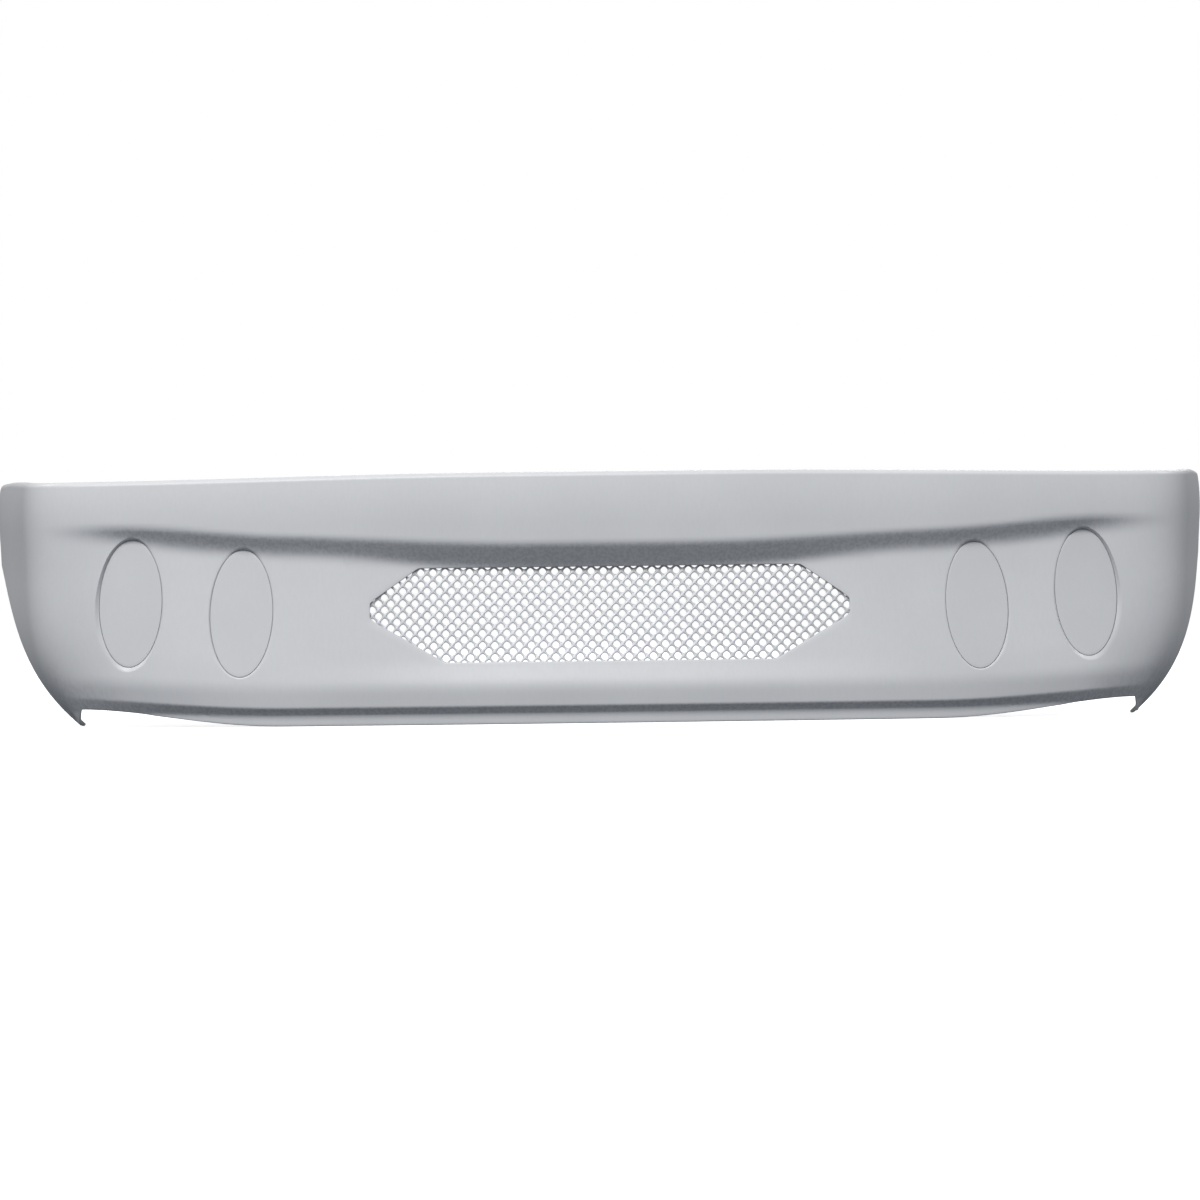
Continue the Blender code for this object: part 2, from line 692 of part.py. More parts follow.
def skin_mesh():
    """Points and faces of the closed skin shell, and the rim angles of each lamp."""
    columns = skin_columns()
    stations = np.array([skin_rows(s) for s in columns])
    outer = outer_point(columns[:, None], stations)
    inner = inner_point(columns[:, None], stations)
    count_i, count_j = stations.shape
    blocks = skin_blocks(columns)
    hidden = set()
    closed = set()
    for (i0, i1, j0, j1), _, _ in blocks:
        closed |= {(i, j) for i in range(i0, i1) for j in range(j0, j1)}
        hidden |= {(i, j) for i in range(i0 + 1, i1) for j in range(j0 + 1, j1)}
    points = []
    faces = []
    angles = {}

    def add(point):
        points.append(point)
        return len(points) - 1

    ids = [{}, {}]
    for layer, surface in enumerate((outer, inner)):
        for i in range(count_i):
            for j in range(count_j):
                if (i, j) not in hidden:
                    ids[layer][i, j] = add(surface[i, j])
        for i in range(count_i - 1):
            for j in range(count_j - 1):
                if (i, j) not in closed:
                    corners = ((i, j), (i + 1, j), (i + 1, j + 1), (i, j + 1))
                    faces.append([ids[layer][c] for c in corners])

    def bridge(first, second):
        for k in range(len(first)):
            n = (k + 1) % len(first)
            faces.append([first[k], first[n], second[n], second[k]])

    for block, kind, data in blocks:
        nodes = perimeter(*block)
        edge = [np.array([surface[n] for n in nodes]) for surface in (outer, inner)]
        if kind == "lamp":
            rings = lamp_rings(data, *edge)
            angles[data[0]] = rim_angles(data, edge[0])
        elif kind == "grille":
            rings = grille_rings(block, columns, nodes, *edge)
        else:
            s = np.array([columns[i] for i, j in nodes])
            rings = flange_rings(s, np.array([stations[n] for n in nodes]))
        last = []
        for layer in (0, 1):
            previous = [ids[layer][n] for n in nodes]
            for ring in rings[layer]:
                current = [add(p) for p in ring]
                bridge(previous, current)
                previous = current
            last.append(previous)
        bridge(*last)
    rim = perimeter(0, count_i - 1, 0, count_j - 1)
    bridge([ids[0][n] for n in rim], [ids[1][n] for n in rim])
    return points, faces, angles


# ---------------------------------------------------------------- flat pieces
def clip_convex(shape, border):
    """Part of a polygon inside a convex counter-clockwise border."""
    result = [tuple(p) for p in shape]
    for k in range(len(border)):
        ax, az = border[k]
        bx, bz = border[(k + 1) % len(border)]
        source, result = result, []
        for n in range(len(source)):
            here, after = source[n], source[(n + 1) % len(source)]
            side_here = (bx - ax) * (here[1] - az) - (bz - az) * (here[0] - ax)
            side_after = (bx - ax) * (after[1] - az) - (bz - az) * (after[0] - ax)
            if side_here >= 0.0:
                result.append(here)
            if (side_here >= 0.0) != (side_after >= 0.0):
                share = side_here / (side_here - side_after)
                cross = [h + (a - h) * share for h, a in zip(here, after)]
                result.append(tuple(cross))
        if not result:
            return []
    return result


def area_of(shape):
    """Signed area of a polygon."""
    total = 0.0
    for k in range(len(shape)):
        (x0, z0), (x1, z1) = shape[k], shape[(k + 1) % len(shape)]
        total += 0.5 * (x0 * z1 - x1 * z0)
    return total


def circle(cx, cz, radius, steps=DRILL_STEPS):
    """Points of a circle."""
    angles = [2 * math.pi * k / steps for k in range(steps)]
    return [(cx + radius * math.cos(a), cz + radius * math.sin(a)) for a in angles]


def plate(name, loops, front, back, material):
    """A plate from an outline with holes; front and back turn its points into space."""
    plan = [p for loop in loops for p in loop]
    shapes = []
    start = 0
    for loop in loops:
        shapes.append(list(range(start, start + len(loop))))
        start += len(loop)
    flat = [Vector(p) for p in plan]
    result = delaunay_2d_cdt(flat, [], shapes, 1, PLATE_MERGE)
    plan = np.array([tuple(v) for v in result[0]])
    count = len(plan)
    points = [*front(*plan.T), *back(*plan.T)]
    triangles = [f for f, owners in zip(result[2], result[5]) if list(owners) == [0]]
    faces = [tuple(f) for f in triangles]
    faces += [tuple(k + count for k in f) for f in triangles]
    edges = {}
    for f in triangles:
        for k in range(3):
            a, b = f[k], f[(k + 1) % 3]
            edges[min(a, b), max(a, b)] = edges.get((min(a, b), max(a, b)), 0) + 1
    faces += [(a, b, b + count, a + count) for (a, b), n in edges.items() if n == 1]
    return add_object(name, points, faces, material)


def sheet_normal():
    """Unit normal of the grille sheet, pointing to the rear."""
    x = np.linspace(-GRILLE_TIP_X, GRILLE_TIP_X, 13)
    low = back_y(x, np.full_like(x, SHEET_LOW_Z))
    high = back_y(x, np.full_like(x, SHEET_HIGH_Z))
    rise = float(np.mean(high - low)) / (SHEET_HIGH_Z - SHEET_LOW_Z)
    length = math.sqrt(1.0 + rise * rise)
    return np.array((0.0, 1.0 / length, -rise / length))


def sheet_point(x, z, offset, lift):
    """Points of the grille sheet; offset runs along its normal."""
    low = back_y(x, np.full_like(x, SHEET_LOW_Z))
    high = back_y(x, np.full_like(x, SHEET_HIGH_Z))
    slope = (high - low) / (SHEET_HIGH_Z - SHEET_LOW_Z)
    y = low + slope * (z - SHEET_LOW_Z) + SHEET_STAND
    return np.stack((x, y, z), -1) + lift * offset


def border_loop(grow, radius, steps, longest):
    """Grille outline pushed outwards, with long sides divided."""
    outline, _ = rounded_outline(grille_corners(grow), radius, steps)
    points = []
    for k in range(len(outline)):
        here, after = outline[k], outline[(k + 1) % len(outline)]
        parts = max(1, math.ceil(float(np.linalg.norm(after - here)) / longest))
        points += [tuple(here + (after - here) * n / parts) for n in range(parts)]
    return points


def mesh_holes(pitch, strand, border):
    """Diamond openings of the mesh that lie inside a convex border."""
    holes = []
    reach_x = int(GRILLE_TIP_X / pitch) + 2
    reach_z = int(0.5 * (GRILLE_TOP_Z - GRILLE_FOOT_Z) / pitch) + 2
    mid_z = 0.5 * (GRILLE_TOP_Z + GRILLE_FOOT_Z)
    half = 0.5 * pitch - strand * math.sqrt(0.5)
    for shift in (0.0, 0.5):
        for i in range(-reach_x, reach_x + 1):
            for j in range(-reach_z, reach_z + 1):
                cx = (i + shift) * pitch
                cz = mid_z + (j + shift) * pitch
                shape = [(cx + half, cz), (cx, cz + half), (cx - half, cz), (cx, cz - half)]
                shape = clip_convex(shape, border)
                if len(shape) > 2 and area_of(shape) > MESH_MIN_HOLE:
                    holes.append(shape)
    return holes


def build_grille(metal, steel):
    """Mesh, retaining frame, bonded studs and nuts."""
    lift = sheet_normal()
    border = border_loop(MESH_BORDER, GRILLE_CORNER_R, 2, RING_LENGTH)
    opening = [tuple(p) for p in grille_corners(MESH_OPEN)]
    loops = [border] + mesh_holes(MESH_PITCH, MESH_STRAND, opening)
    plate(
        "grille_mesh",
        loops,
        lambda x, z: sheet_point(x, z, 0.0, lift),
        lambda x, z: sheet_point(x, z, MESH_T, lift),
        metal,
    )
    seats = frame_seats()
    radius = SMALL_STUD[0] + HOLE_CLEAR
    loops = [frame_outline(), border_loop(FRAME_IN, GRILLE_CORNER_R, 2, RING_LENGTH)]
    loops += [circle(x, z, radius) for _, x, z in seats]
    start = MESH_T + 2 * GAP
    plate(
        "grille_retaining_frame",
        loops,
        lambda x, z: sheet_point(x, z, start, lift),
        lambda x, z: sheet_point(x, z, start + FRAME_T, lift),
        steel,
    )
    for name, x, z in seats:
        x, z = np.array(x), np.array(z)
        seat = sheet_point(x, z, start + FRAME_T + GAP, lift)
        base = clear_of_skin(sheet_point(x, z, -SHEET_STAND, lift), lift, STUD_BASE_R)
        add_stud("grille_stud_" + name, base, lift, SMALL_STUD, steel)
        add_nut("grille_nut_" + name, seat, lift, SMALL_STUD, steel)


def edge_seat(first, second, share):
    """Point on a straight side of the grille outline and its outward direction."""
    start, end = np.array(first), np.array(second)
    along = (end - start) / np.linalg.norm(end - start)
    return start + (end - start) * share, np.array((along[1], -along[0])), along


def seat_sides():
    """Names and corner pairs of the outline sides that carry a stud."""
    return (
        ("right_lower", 1, 2),
        ("right_tip", 2, 3),
        ("right_upper", 3, 4),
        ("left_upper", 5, 6),
        ("left_tip", 6, 7),
        ("left_lower", 7, 0),
    )


def frame_seats():
    """Name and front-view position of the grille studs."""
    corners = grille_corners()
    seats = []
    for name, a, b in seat_sides():
        middle, outside, _ = edge_seat(corners[a], corners[b], 0.5)
        x, z = middle + outside * FRAME_STUD_OUT
        seats.append((name, float(x), float(z)))
    return seats


def frame_outline():
    """Outer edge of the retaining frame with an ear at each stud."""
    corners = grille_corners(FRAME_OUT)
    eared = {(a, b) for _, a, b in seat_sides()}
    points = []
    for a in range(len(corners)):
        b = (a + 1) % len(corners)
        points.append(tuple(corners[a]))
        if (a, b) in eared:
            middle, outside, along = edge_seat(corners[a], corners[b], 0.5)
            for shift, rise in ((-1.0, 0.0), (-0.6, 1.0), (0.6, 1.0), (1.0, 0.0)):
                place = middle + along * FRAME_EAR_HALF * shift
                points.append(tuple(place + outside * FRAME_EAR * rise))
        else:
            parts = FRAME_PARTS
            points += [tuple(mix(corners[a], corners[b], k / parts)) for k in range(1, parts)]
    return points


# ---------------------------------------------------------------- round pieces
def axis_frame(axis):
    """Two unit directions square to an axis, and the axis."""
    axis = np.asarray(axis, float) / np.linalg.norm(axis)
    helper = np.array((1.0, 0.0, 0.0)) if abs(axis[0]) < 0.9 else np.array((0.0, 0.0, 1.0))
    second = np.cross(axis, helper)
    second = second / np.linalg.norm(second)
    return np.cross(second, axis), second, axis


def stack_rings(name, rings, material, smooth=False):
    """A closed body from rings with the same number of points, capped at both ends."""
    points = [p for ring in rings for p in ring]
    count = len(rings[0])
    faces = [tuple(range(count)), tuple(range(len(points) - count, len(points)))]
    for k in range(len(rings) - 1):
        for n in range(count):
            m = (n + 1) % count
            low = k * count
            faces.append((low + n, low + m, low + count + m, low + count + n))
    return add_object(name, points, faces, material, smooth)


def round_ring(base, frame, radius, height, steps=ROUND_STEPS):
    """Points of a ring round an axis."""
    u, w, n = frame
    angles = [2 * math.pi * k / steps for k in range(steps)]
    return [base + radius * (math.cos(a) * u + math.sin(a) * w) + n * height for a in angles]


def add_stud(name, base, axis, size, material):
    """Flat bonding disc with a threaded shank."""
    frame = axis_frame(axis)
    radius, length = size[0], size[1]
    profile = (
        (STUD_BASE_R, 0.0),
        (STUD_BASE_R, STUD_BASE_T),
        (radius, STUD_BASE_T),
        (radius, length - 0.3 * radius),
        (0.7 * radius, length),
    )
    rings = [round_ring(base, frame, r, h) for r, h in profile]
    return stack_rings(name, rings, material, smooth=True)


def add_nut(name, base, axis, size, material):
    """Hexagon nut with a clear hole, standing on its base point."""
    frame = axis_frame(axis)
    _, _, half_flat, height = size
    corner = half_flat / math.cos(math.pi / 6)
    hole = (size[0] + THREAD_CLEAR) / math.cos(math.pi / 6)
    rings = []
    for radius, level in ((corner, 0.0), (hole, 0.0), (hole, height), (corner, height)):
        rings.append(round_ring(base, frame, radius, level, 6))
    points = [p for ring in rings for p in ring]
    faces = []
    for ring in range(4):
        start, after = 6 * ring, 6 * ((ring + 1) % 4)
        for k in range(6):
            m = (k + 1) % 6
            faces.append((start + k, start + m, after + m, after + k))
    return add_object(name, points, faces, material)


def clear_of_skin(base, axis, radius):
    """Base point moved along its axis until a disc on it clears the skin by the gap."""
    ring = np.array(round_ring(base, axis_frame(axis), radius, 0.0) + [base])
    behind = back_y(ring[:, 0], ring[:, 2]) - ring[:, 1]
    return base + axis * (float(behind.max()) + GAP) / axis[1]


# ---------------------------------------------------------------- lamp covers
def lamp_frame(lamp, plane):
    """Centre of a cover's face with its in-plane and rearward directions."""
    _, slope_x, slope_z = plane
    u = np.array((1.0, slope_x, 0.0))
    n = np.array((-slope_x, 1.0, -slope_z))
    u = u / np.linalg.norm(u)
    n = n / np.linalg.norm(n)
    return np.array((lamp[2], plane[0], lamp[3])), (u, np.cross(n, u), n)


def build_lamp(lamp, angle, paint, steel):
    """Blanking cover with its stud, the strap behind it and the nut."""
    plane = lamp_plane(lamp)
    centre, frame = lamp_frame(lamp, plane)
    u, w, n = frame

    def rim(grow, behind):
        x, z = ellipse_at(lamp, angle, grow)
        return list(np.stack((x, plane_y(plane, lamp, x, z) + behind, z), -1))

    radius, length, _, _ = COVER_STUD
    front = rim(-COVER_GAP - COVER_BEVEL, 0.0)
    rings = []
    for share in COVER_RINGS:
        crown = n * COVER_CROWN * (1.0 - share * share)
        rings.append([mix(centre, p, share) - crown for p in front])
    rings += [front, rim(-COVER_GAP, COVER_BEVEL), rim(-COVER_GAP, COVER_T)]
    turned = radius * (np.outer(np.cos(angle), u) + np.outer(np.sin(angle), w))
    foot = centre + turned + n * (COVER_T * n[1] + COVER_BOSS)
    rings += [[mix(a, b, 0.5) - n * 0.3 * COVER_BOSS for a, b in zip(rings[-1], foot)]]
    rings.append(list(foot))
    for size, level in ((1.0, length - 0.3 * radius), (0.7, length)):
        rings.append(list(centre + turned * size + n * level))
    stack_rings("lamp_cover_" + lamp[0], rings, paint, smooth=True)

    seat = (COVER_T + SKIN_T + 2 * GAP) * n[1] + GAP
    loops = [
        [(-STRAP_HALF, -0.3 * STRAP_WIDTH), (-STRAP_HALF + 0.004, -0.5 * STRAP_WIDTH)]
        + [(STRAP_HALF - 0.004, -0.5 * STRAP_WIDTH), (STRAP_HALF, -0.3 * STRAP_WIDTH)]
        + [(STRAP_HALF, 0.3 * STRAP_WIDTH), (STRAP_HALF - 0.004, 0.5 * STRAP_WIDTH)]
        + [(-STRAP_HALF + 0.004, 0.5 * STRAP_WIDTH), (-STRAP_HALF, 0.3 * STRAP_WIDTH)],
        circle(0.0, 0.0, radius + HOLE_CLEAR),
    ]
    plate(
        "lamp_strap_" + lamp[0],
        loops,
        lambda a, b: centre + np.outer(a, u) + np.outer(b, w) + n * seat,
        lambda a, b: centre + np.outer(a, u) + np.outer(b, w) + n * (seat + STRAP_T),
        steel,
    )
    place = centre + n * (seat + STRAP_T + GAP)
    add_nut("lamp_nut_" + lamp[0], place, n, COVER_STUD, steel)


# ---------------------------------------------------------------- upper rail
def rail_hole_arcs():
    """Arc lengths of the mounting holes in the top flange."""
    low, high = lamp_span(LAMP_INNER[0])
    outer = 0.5 * (low + high)
    return (-outer, -FLANGE_HOLE_MID, 0.0, FLANGE_HOLE_MID, outer)


def flange_point(s, w, drop):
    """Point under the top flange, w in from its fold and drop below its top face."""
    s = np.array(s)
    point = outer_point(s, top_z(s) - FOLD_R + FOLD_R * math.pi / 2 + w)
    return point - np.array((0.0, 0.0, drop))


def build_rail(aluminium, steel):
    """Stiffening rail under the top flange and its captive nuts."""
    arcs = spread(-RAIL_HALF, RAIL_HALF, RAIL_STATIONS)
    outline = [(s, RAIL_IN) for s in arcs] + [(s, RAIL_OUT) for s in reversed(arcs)]
    holes = rail_hole_arcs()
    loops = [outline] + [circle(s, RAIL_HOLE_W, FLANGE_HOLE_R) for s in holes]
    top = SKIN_T + GAP
    plate(
        "upper_mounting_rail",
        loops,
        lambda s, w: flange_point(s, w, top),
        lambda s, w: flange_point(s, w, top + RAIL_T),
        aluminium,
    )
    half_flat, hole, height = RAIL_NUT
    down = np.array((0.0, 0.0, -1.0))
    for name, s in zip(RAIL_NAMES, holes):
        base = flange_point(s, RAIL_HOLE_W, top + RAIL_T + 2 * GAP)
        add_nut("rail_nut_" + name, base, down, (hole, 0.0, half_flat, height), steel)


# ---------------------------------------------------------------- brackets
def skin_frame(s, z):
    """Inner surface point with its directions along, up and inwards."""
    s = np.array(s)
    z = np.array(z)
    h = 0.001
    along = inner_point(s + h, z) - inner_point(s - h, z)
    inward = -outward(s, z)
    along = along / np.linalg.norm(along)
    up = np.cross(inward, along)
    if up[2] < 0.0:
        up = -up
    return inner_point(s, z), along, up / np.linalg.norm(up), inward


def lift_off(s, z, half_s, half_z, axis):
    """How far a flat piece must stand off along an axis to clear the inner surface."""
    origin = inner_point(np.array(s), np.array(z))
    highest = 0.0
    for ds in spread(-half_s, half_s, 8):
        for dz in spread(-half_z, half_z, 8):
            place = inner_point(np.array(s + ds), np.array(z + dz))
            highest = max(highest, float((place - origin) @ axis))
    return highest + GAP


def drill(obj, holes):
    """Cuts round holes; each is a point on the axis, its direction, radius and half length."""
    for k, (centre, axis, radius, half) in enumerate(holes):
        frame = axis_frame(axis)
        rings = [round_ring(centre, frame, radius, level, DRILL_STEPS) for level in (-half, half)]
        cutter = stack_rings(obj.name + "_cutter_%d" % k, rings, obj.data.materials[0])
        cutter.hide_render = True
        cutter.display_type = "WIRE"
        cut = obj.modifiers.new("hole_%d" % k, "BOOLEAN")
        cut.operation = "DIFFERENCE"
        cut.solver = "EXACT"
        cut.object = cutter


def build_beam_bracket(side, word, steel):
    """Channel from the skin's inner face back to the crash beam, with studs and nuts."""
    s = float(arc_at(np.array(side * BEAM_X), BEAM_Z))
    origin, along, up, inward = skin_frame(s, BEAM_Z)
    along = along * side if along[0] > 0.0 else -along * side
    stand = lift_off(s, BEAM_Z, BEAM_HALF_W, BEAM_HALF_H, inward)
    foot = stand + STUD_BASE_T + GAP
    rear_x = float((origin + inward * foot)[0]) - side * BEAM_HALF_W
    wide = 2 * BEAM_HALF_W
    front_start = ((BEAM_HALF_W, foot), (-BEAM_HALF_W, foot))
    front_end = ((-BEAM_HALF_W + BEAM_T, foot + BEAM_T), (BEAM_HALF_W, foot + BEAM_T))
    rear = (
        (rear_x, BEAM_REAR_Y),
        (rear_x + side * wide, BEAM_REAR_Y),
        (rear_x + side * wide, BEAM_REAR_Y - BEAM_T),
        (rear_x + side * BEAM_T, BEAM_REAR_Y - BEAM_T),
    )
    rings = []
    for level in (-BEAM_HALF_H, BEAM_HALF_H):
        middle = origin + up * level
        start = [middle + along * u + inward * n for u, n in front_start]
        end = [middle + along * u + inward * n for u, n in front_end]
        rings.append(start + [np.array((x, y, BEAM_Z + level)) for x, y in rear] + end)
    bracket = stack_rings("beam_bracket_" + word, rings, steel)
    holes = []
    for name, step in (("lower", -BEAM_STUD_Z), ("upper", BEAM_STUD_Z)):
        base = origin + up * step
        add_stud("beam_stud_%s_%s" % (name, word), base + inward * stand, inward, LARGE_STUD, steel)
        seat = base + inward * (foot + BEAM_T + GAP)
        add_nut("beam_nut_%s_%s" % (name, word), seat, inward, LARGE_STUD, steel)
        holes.append((base + inward * foot, inward, LARGE_STUD[0] + HOLE_CLEAR, 0.012))
    for step in (-BEAM_BOLT_Z, BEAM_BOLT_Z):
        middle = np.array((rear_x + side * (BEAM_HALF_W + 0.5 * BEAM_T), BEAM_REAR_Y, BEAM_Z + step))
        holes.append((middle, (0.0, 1.0, 0.0), BEAM_BOLT_R, 0.012))
    drill(bracket, holes)


def build_side_bracket(side, word, steel):
    """Angle on the inside of the side return, with studs and nuts."""
    s = side * SIDE_S
    origin, along, _, inward = skin_frame(s, SIDE_Z)
    up = np.array((0.0, 0.0, 1.0))
    flat_in = np.array((inward[0], inward[1], 0.0))
    flat_in = flat_in / np.linalg.norm(flat_in)
    stand = lift_off(s, SIDE_Z, SIDE_HALF_W, SIDE_HALF_H, flat_in)
    foot = stand + STUD_BASE_T + GAP
    section = (
        (foot, -SIDE_HALF_H),
        (foot, SIDE_HALF_H),
        (foot + SIDE_TAB, SIDE_HALF_H),
        (foot + SIDE_TAB, SIDE_HALF_H - SIDE_T),
        (foot + SIDE_T, SIDE_HALF_H - SIDE_T),
        (foot + SIDE_T, -SIDE_HALF_H),
    )
    rings = []
    for level in (-SIDE_HALF_W, SIDE_HALF_W):
        rings.append([origin + along * level + flat_in * n + up * z for n, z in section])
    bracket = stack_rings("side_bracket_" + word, rings, steel)
    holes = []
    for name, step in (("front", -SIDE_STUD_S), ("rear", SIDE_STUD_S)):
        base = origin + along * step * side - up * 0.25 * SIDE_HALF_H
        add_stud("side_stud_%s_%s" % (name, word), base + flat_in * stand, flat_in, SMALL_STUD, steel)
        seat = base + flat_in * (foot + SIDE_T + GAP)
        add_nut("side_nut_%s_%s" % (name, word), seat, flat_in, SMALL_STUD, steel)
        holes.append((base + flat_in * foot, flat_in, SMALL_STUD[0] + HOLE_CLEAR, 0.008))
    tab = origin + flat_in * (foot + 0.6 * SIDE_TAB) + up * SIDE_HALF_H
    holes.append((tab, up, SIDE_BOLT_R, 0.008))
    drill(bracket, holes)


# ---------------------------------------------------------------- assembly
def build():
    """The whole bumper cover."""
    for obj in list(bpy.data.objects):
        bpy.data.objects.remove(obj)
    skin = make_material("skin_gelcoat", (0.56, 0.57, 0.59), 0.42)
    cover = make_material("cover_gelcoat", (0.55, 0.56, 0.58), 0.42)
    metal = make_material("mesh_aluminium", (0.66, 0.67, 0.69), 0.40, 0.9)
    rail = make_material("rail_aluminium", (0.60, 0.61, 0.63), 0.45, 0.9)
    steel = make_material("zinc_steel", (0.48, 0.49, 0.50), 0.42, 0.9)
    dark = make_material("bracket_paint", (0.055, 0.056, 0.06), 0.55)
    points, faces, angles = skin_mesh()
    add_object("bumper_skin", points, faces, skin, smooth=True)
    build_grille(metal, steel)
    for lamp in lamp_list():
        build_lamp(lamp, angles[lamp[0]], cover, steel)
    build_rail(rail, steel)
    for side, word in SIDES:
        build_beam_bracket(side, word, dark)
        build_side_bracket(side, word, dark)


build()
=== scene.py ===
"""Looks of the front bumper cover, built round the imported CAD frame.

Metres, Z up, front facing -Y.  The skin, the mesh and the fixings follow the same formulas as
the CAD solids, at a finer grain, so that each piece lies where its CAD node lies.
"""
import math

import bmesh
import bpy
import numpy as np
from mathutils import Matrix, Vector
from mathutils.geometry import delaunay_2d_cdt


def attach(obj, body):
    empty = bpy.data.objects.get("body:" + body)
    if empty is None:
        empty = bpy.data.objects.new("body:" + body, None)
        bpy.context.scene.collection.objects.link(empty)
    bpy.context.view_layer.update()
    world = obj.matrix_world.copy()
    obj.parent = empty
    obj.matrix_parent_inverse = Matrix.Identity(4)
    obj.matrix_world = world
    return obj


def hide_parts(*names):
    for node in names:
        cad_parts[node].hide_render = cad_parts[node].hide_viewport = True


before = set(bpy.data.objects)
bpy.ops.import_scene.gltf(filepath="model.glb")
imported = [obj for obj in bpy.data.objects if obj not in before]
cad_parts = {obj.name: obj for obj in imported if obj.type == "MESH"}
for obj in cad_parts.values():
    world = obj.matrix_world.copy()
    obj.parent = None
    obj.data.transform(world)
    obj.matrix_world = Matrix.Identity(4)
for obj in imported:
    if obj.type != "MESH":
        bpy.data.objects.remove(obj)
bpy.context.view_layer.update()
BODY = "root"

# Overall form
HEIGHT = 0.328
FRONT_Y = -0.2122
SKIN_T = 0.0035
GAP = 0.0003
SIDE_REACH = 1.120

# Plan curve: heading in degrees at arc lengths measured from the centre line
PLAN_ARC = (0.0, 0.709, 0.800, 1.16)
PLAN_HEADING = (0.0, 7.8, 77.0, 80.5)
PLAN_SOFT = 0.034
PLAN_STEPS = 4000
PLAN_MARGIN = 0.02
ARC_PASSES = 8
NORMAL_STEP = 0.0002
SLOPE_STEP = 0.001

# Front profile: heights of the feature lines at the centre
STRIP_TOP_Z = 0.0147
TURN_Z = 0.0231
EDGE_Z = 0.050
FOOT_Z = 0.080
BROW_Z = 0.234
BROW_RISE = 0.0135
BROW_RISE_SPAN = (0.10, 0.50)
BROW_RISE_END = 0.014
BROW_RISE_END_SPAN = (0.42, 0.66)
CROWN_Z = 0.262
LOWER_RISE = (0.006, 0.018, 0.013)
LOWER_RISE_SPAN = (0.42, 0.78)
FOOT_RISE = 0.010
BELOW_Z = -0.02
ABOVE_Z = 0.36

# Front profile: depths behind the plan curve
STRIP_DEPTH = 0.016
STRIP_SINK = 0.010
TURN_DEPTH = 0.003
TURN_SINK = 0.006
FOOT_DEPTH = 0.0085
FOOT_DEPTH_END = 0.0032
FOOT_SPAN = (0.10, 0.50)
RECESS_DEPTH = 0.034
RECESS_DEPTH_END = 0.0225
RECESS_SWEEP = 0.097
RECESS_SOFT = 0.004
BROW_DEPTH = 0.0010
CROWN_DEPTH = 0.005
BROW_SLOPE = 0.82
BROW_SLOPE_END = 0.66
BROW_MIN = 0.006
FLOOR_SOFT = 0.009
FLOOR_SOFT_END = 0.013
FLOOR_SPAN = (0.22, 0.42)
BROW_SOFT = 0.006
LOWER_SOFTS = (0.0, 0.002, 0.003, 0.012, 0.010)
RECESS_FADE_SPAN = (0.54, 0.80)

# Side profile and wheel-arch edge
TUCK_DEPTH = 0.074
TUCK_TOP = 0.250
TUCK_POWER = 4.0
SIDE_TAPER = 0.005
SIDE_TAPER_LOW = 0.190
SIDE_BLEND_SPAN = (0.62, 0.78)
LIP_RISE = 0.023
LIP_RISE_SPAN = (0.42, 0.70)
LIP_POWER = 1.2
FANG_ROOT_ARC = 0.703
FANG_FRONT_ARC = 0.7225
FANG_REST_ARC = 0.800
FANG_HEEL_ARC = 0.829
FANG_TOE_Z = 0.004
ARCH_TOP_Z = 0.215
ARCH_POWER = 0.60
ARCH_CORNER_R = 0.016

# Top mounting flange
FOLD_R = 0.007
FLANGE_W = 0.030
FLANGE_W_SIDE = 0.010
FLANGE_TAPER_SPAN = (0.66, 0.82)
TOP_CROWN = 0.006
TOP_CROWN_SPAN = (0.15, 0.72)
SIDE_TOP_RISE = 0.005
SIDE_TOP_SPAN = (0.74, 0.98)

# Grille aperture outline, half widths and heights
GRILLE_TIP_X = 0.313
GRILLE_TOP_X = 0.2495
GRILLE_FOOT_X = 0.2155
GRILLE_TOP_Z = 0.204
GRILLE_FOOT_Z = 0.081
GRILLE_TIP_LOW_Z = 0.138
GRILLE_TIP_HIGH_Z = 0.160
GRILLE_CORNER_R = 0.008
GRILLE_CORNER_STEPS = 6

# Lamp blanking covers: centre, semi-axes and lean of the top towards the middle
LAMP_OUTER = (0.626, 0.1625)
LAMP_INNER = (0.481, 0.148)
LAMP_A = 0.0415
LAMP_B = 0.0835
LAMP_LEAN = 2.5
LAMP_STEP = 0.0006
LAMP_LEDGE = 0.004
COVER_T = 0.003
COVER_GAP = 0.0005
LAMP_EDGE = 0.0012
LAMP_SCOOP = 0.006
LAMP_SCOOP_TURN = 38.0
LAMP_DRAFT = 0.3
LAMP_DRAFT_MAX = 0.003
LAMP_PITCH = 0.09
LAMP_PITCH_INNER = 0.125
LAMP_YAW = 5.0
LAMP_SPAN_Z = 0.15
RIM_STEPS = 72

# Mesh grille
MESH_T = 0.0014
PLATE_MERGE = 0.000001
SHEET_LOW_Z = 0.100
SHEET_HIGH_Z = 0.185
SHEET_STAND = 0.0007
SHEET_PROBES = 13

# Grille retaining frame
FRAME_T = 0.003
FRAME_IN = 0.002
FRAME_OUT = 0.015
FRAME_EAR = 0.014
FRAME_EAR_HALF = 0.013
FRAME_STUD_OUT = 0.0210
FRAME_STEP = 0.008
EAR_ROUND = 0.003
EAR_STEPS = 5
EAR_SHAPE = ((-1.0, 0.0), (-0.6, 1.0), (0.6, 1.0), (1.0, 0.0))
FRAME_CORNER_STEPS = 8

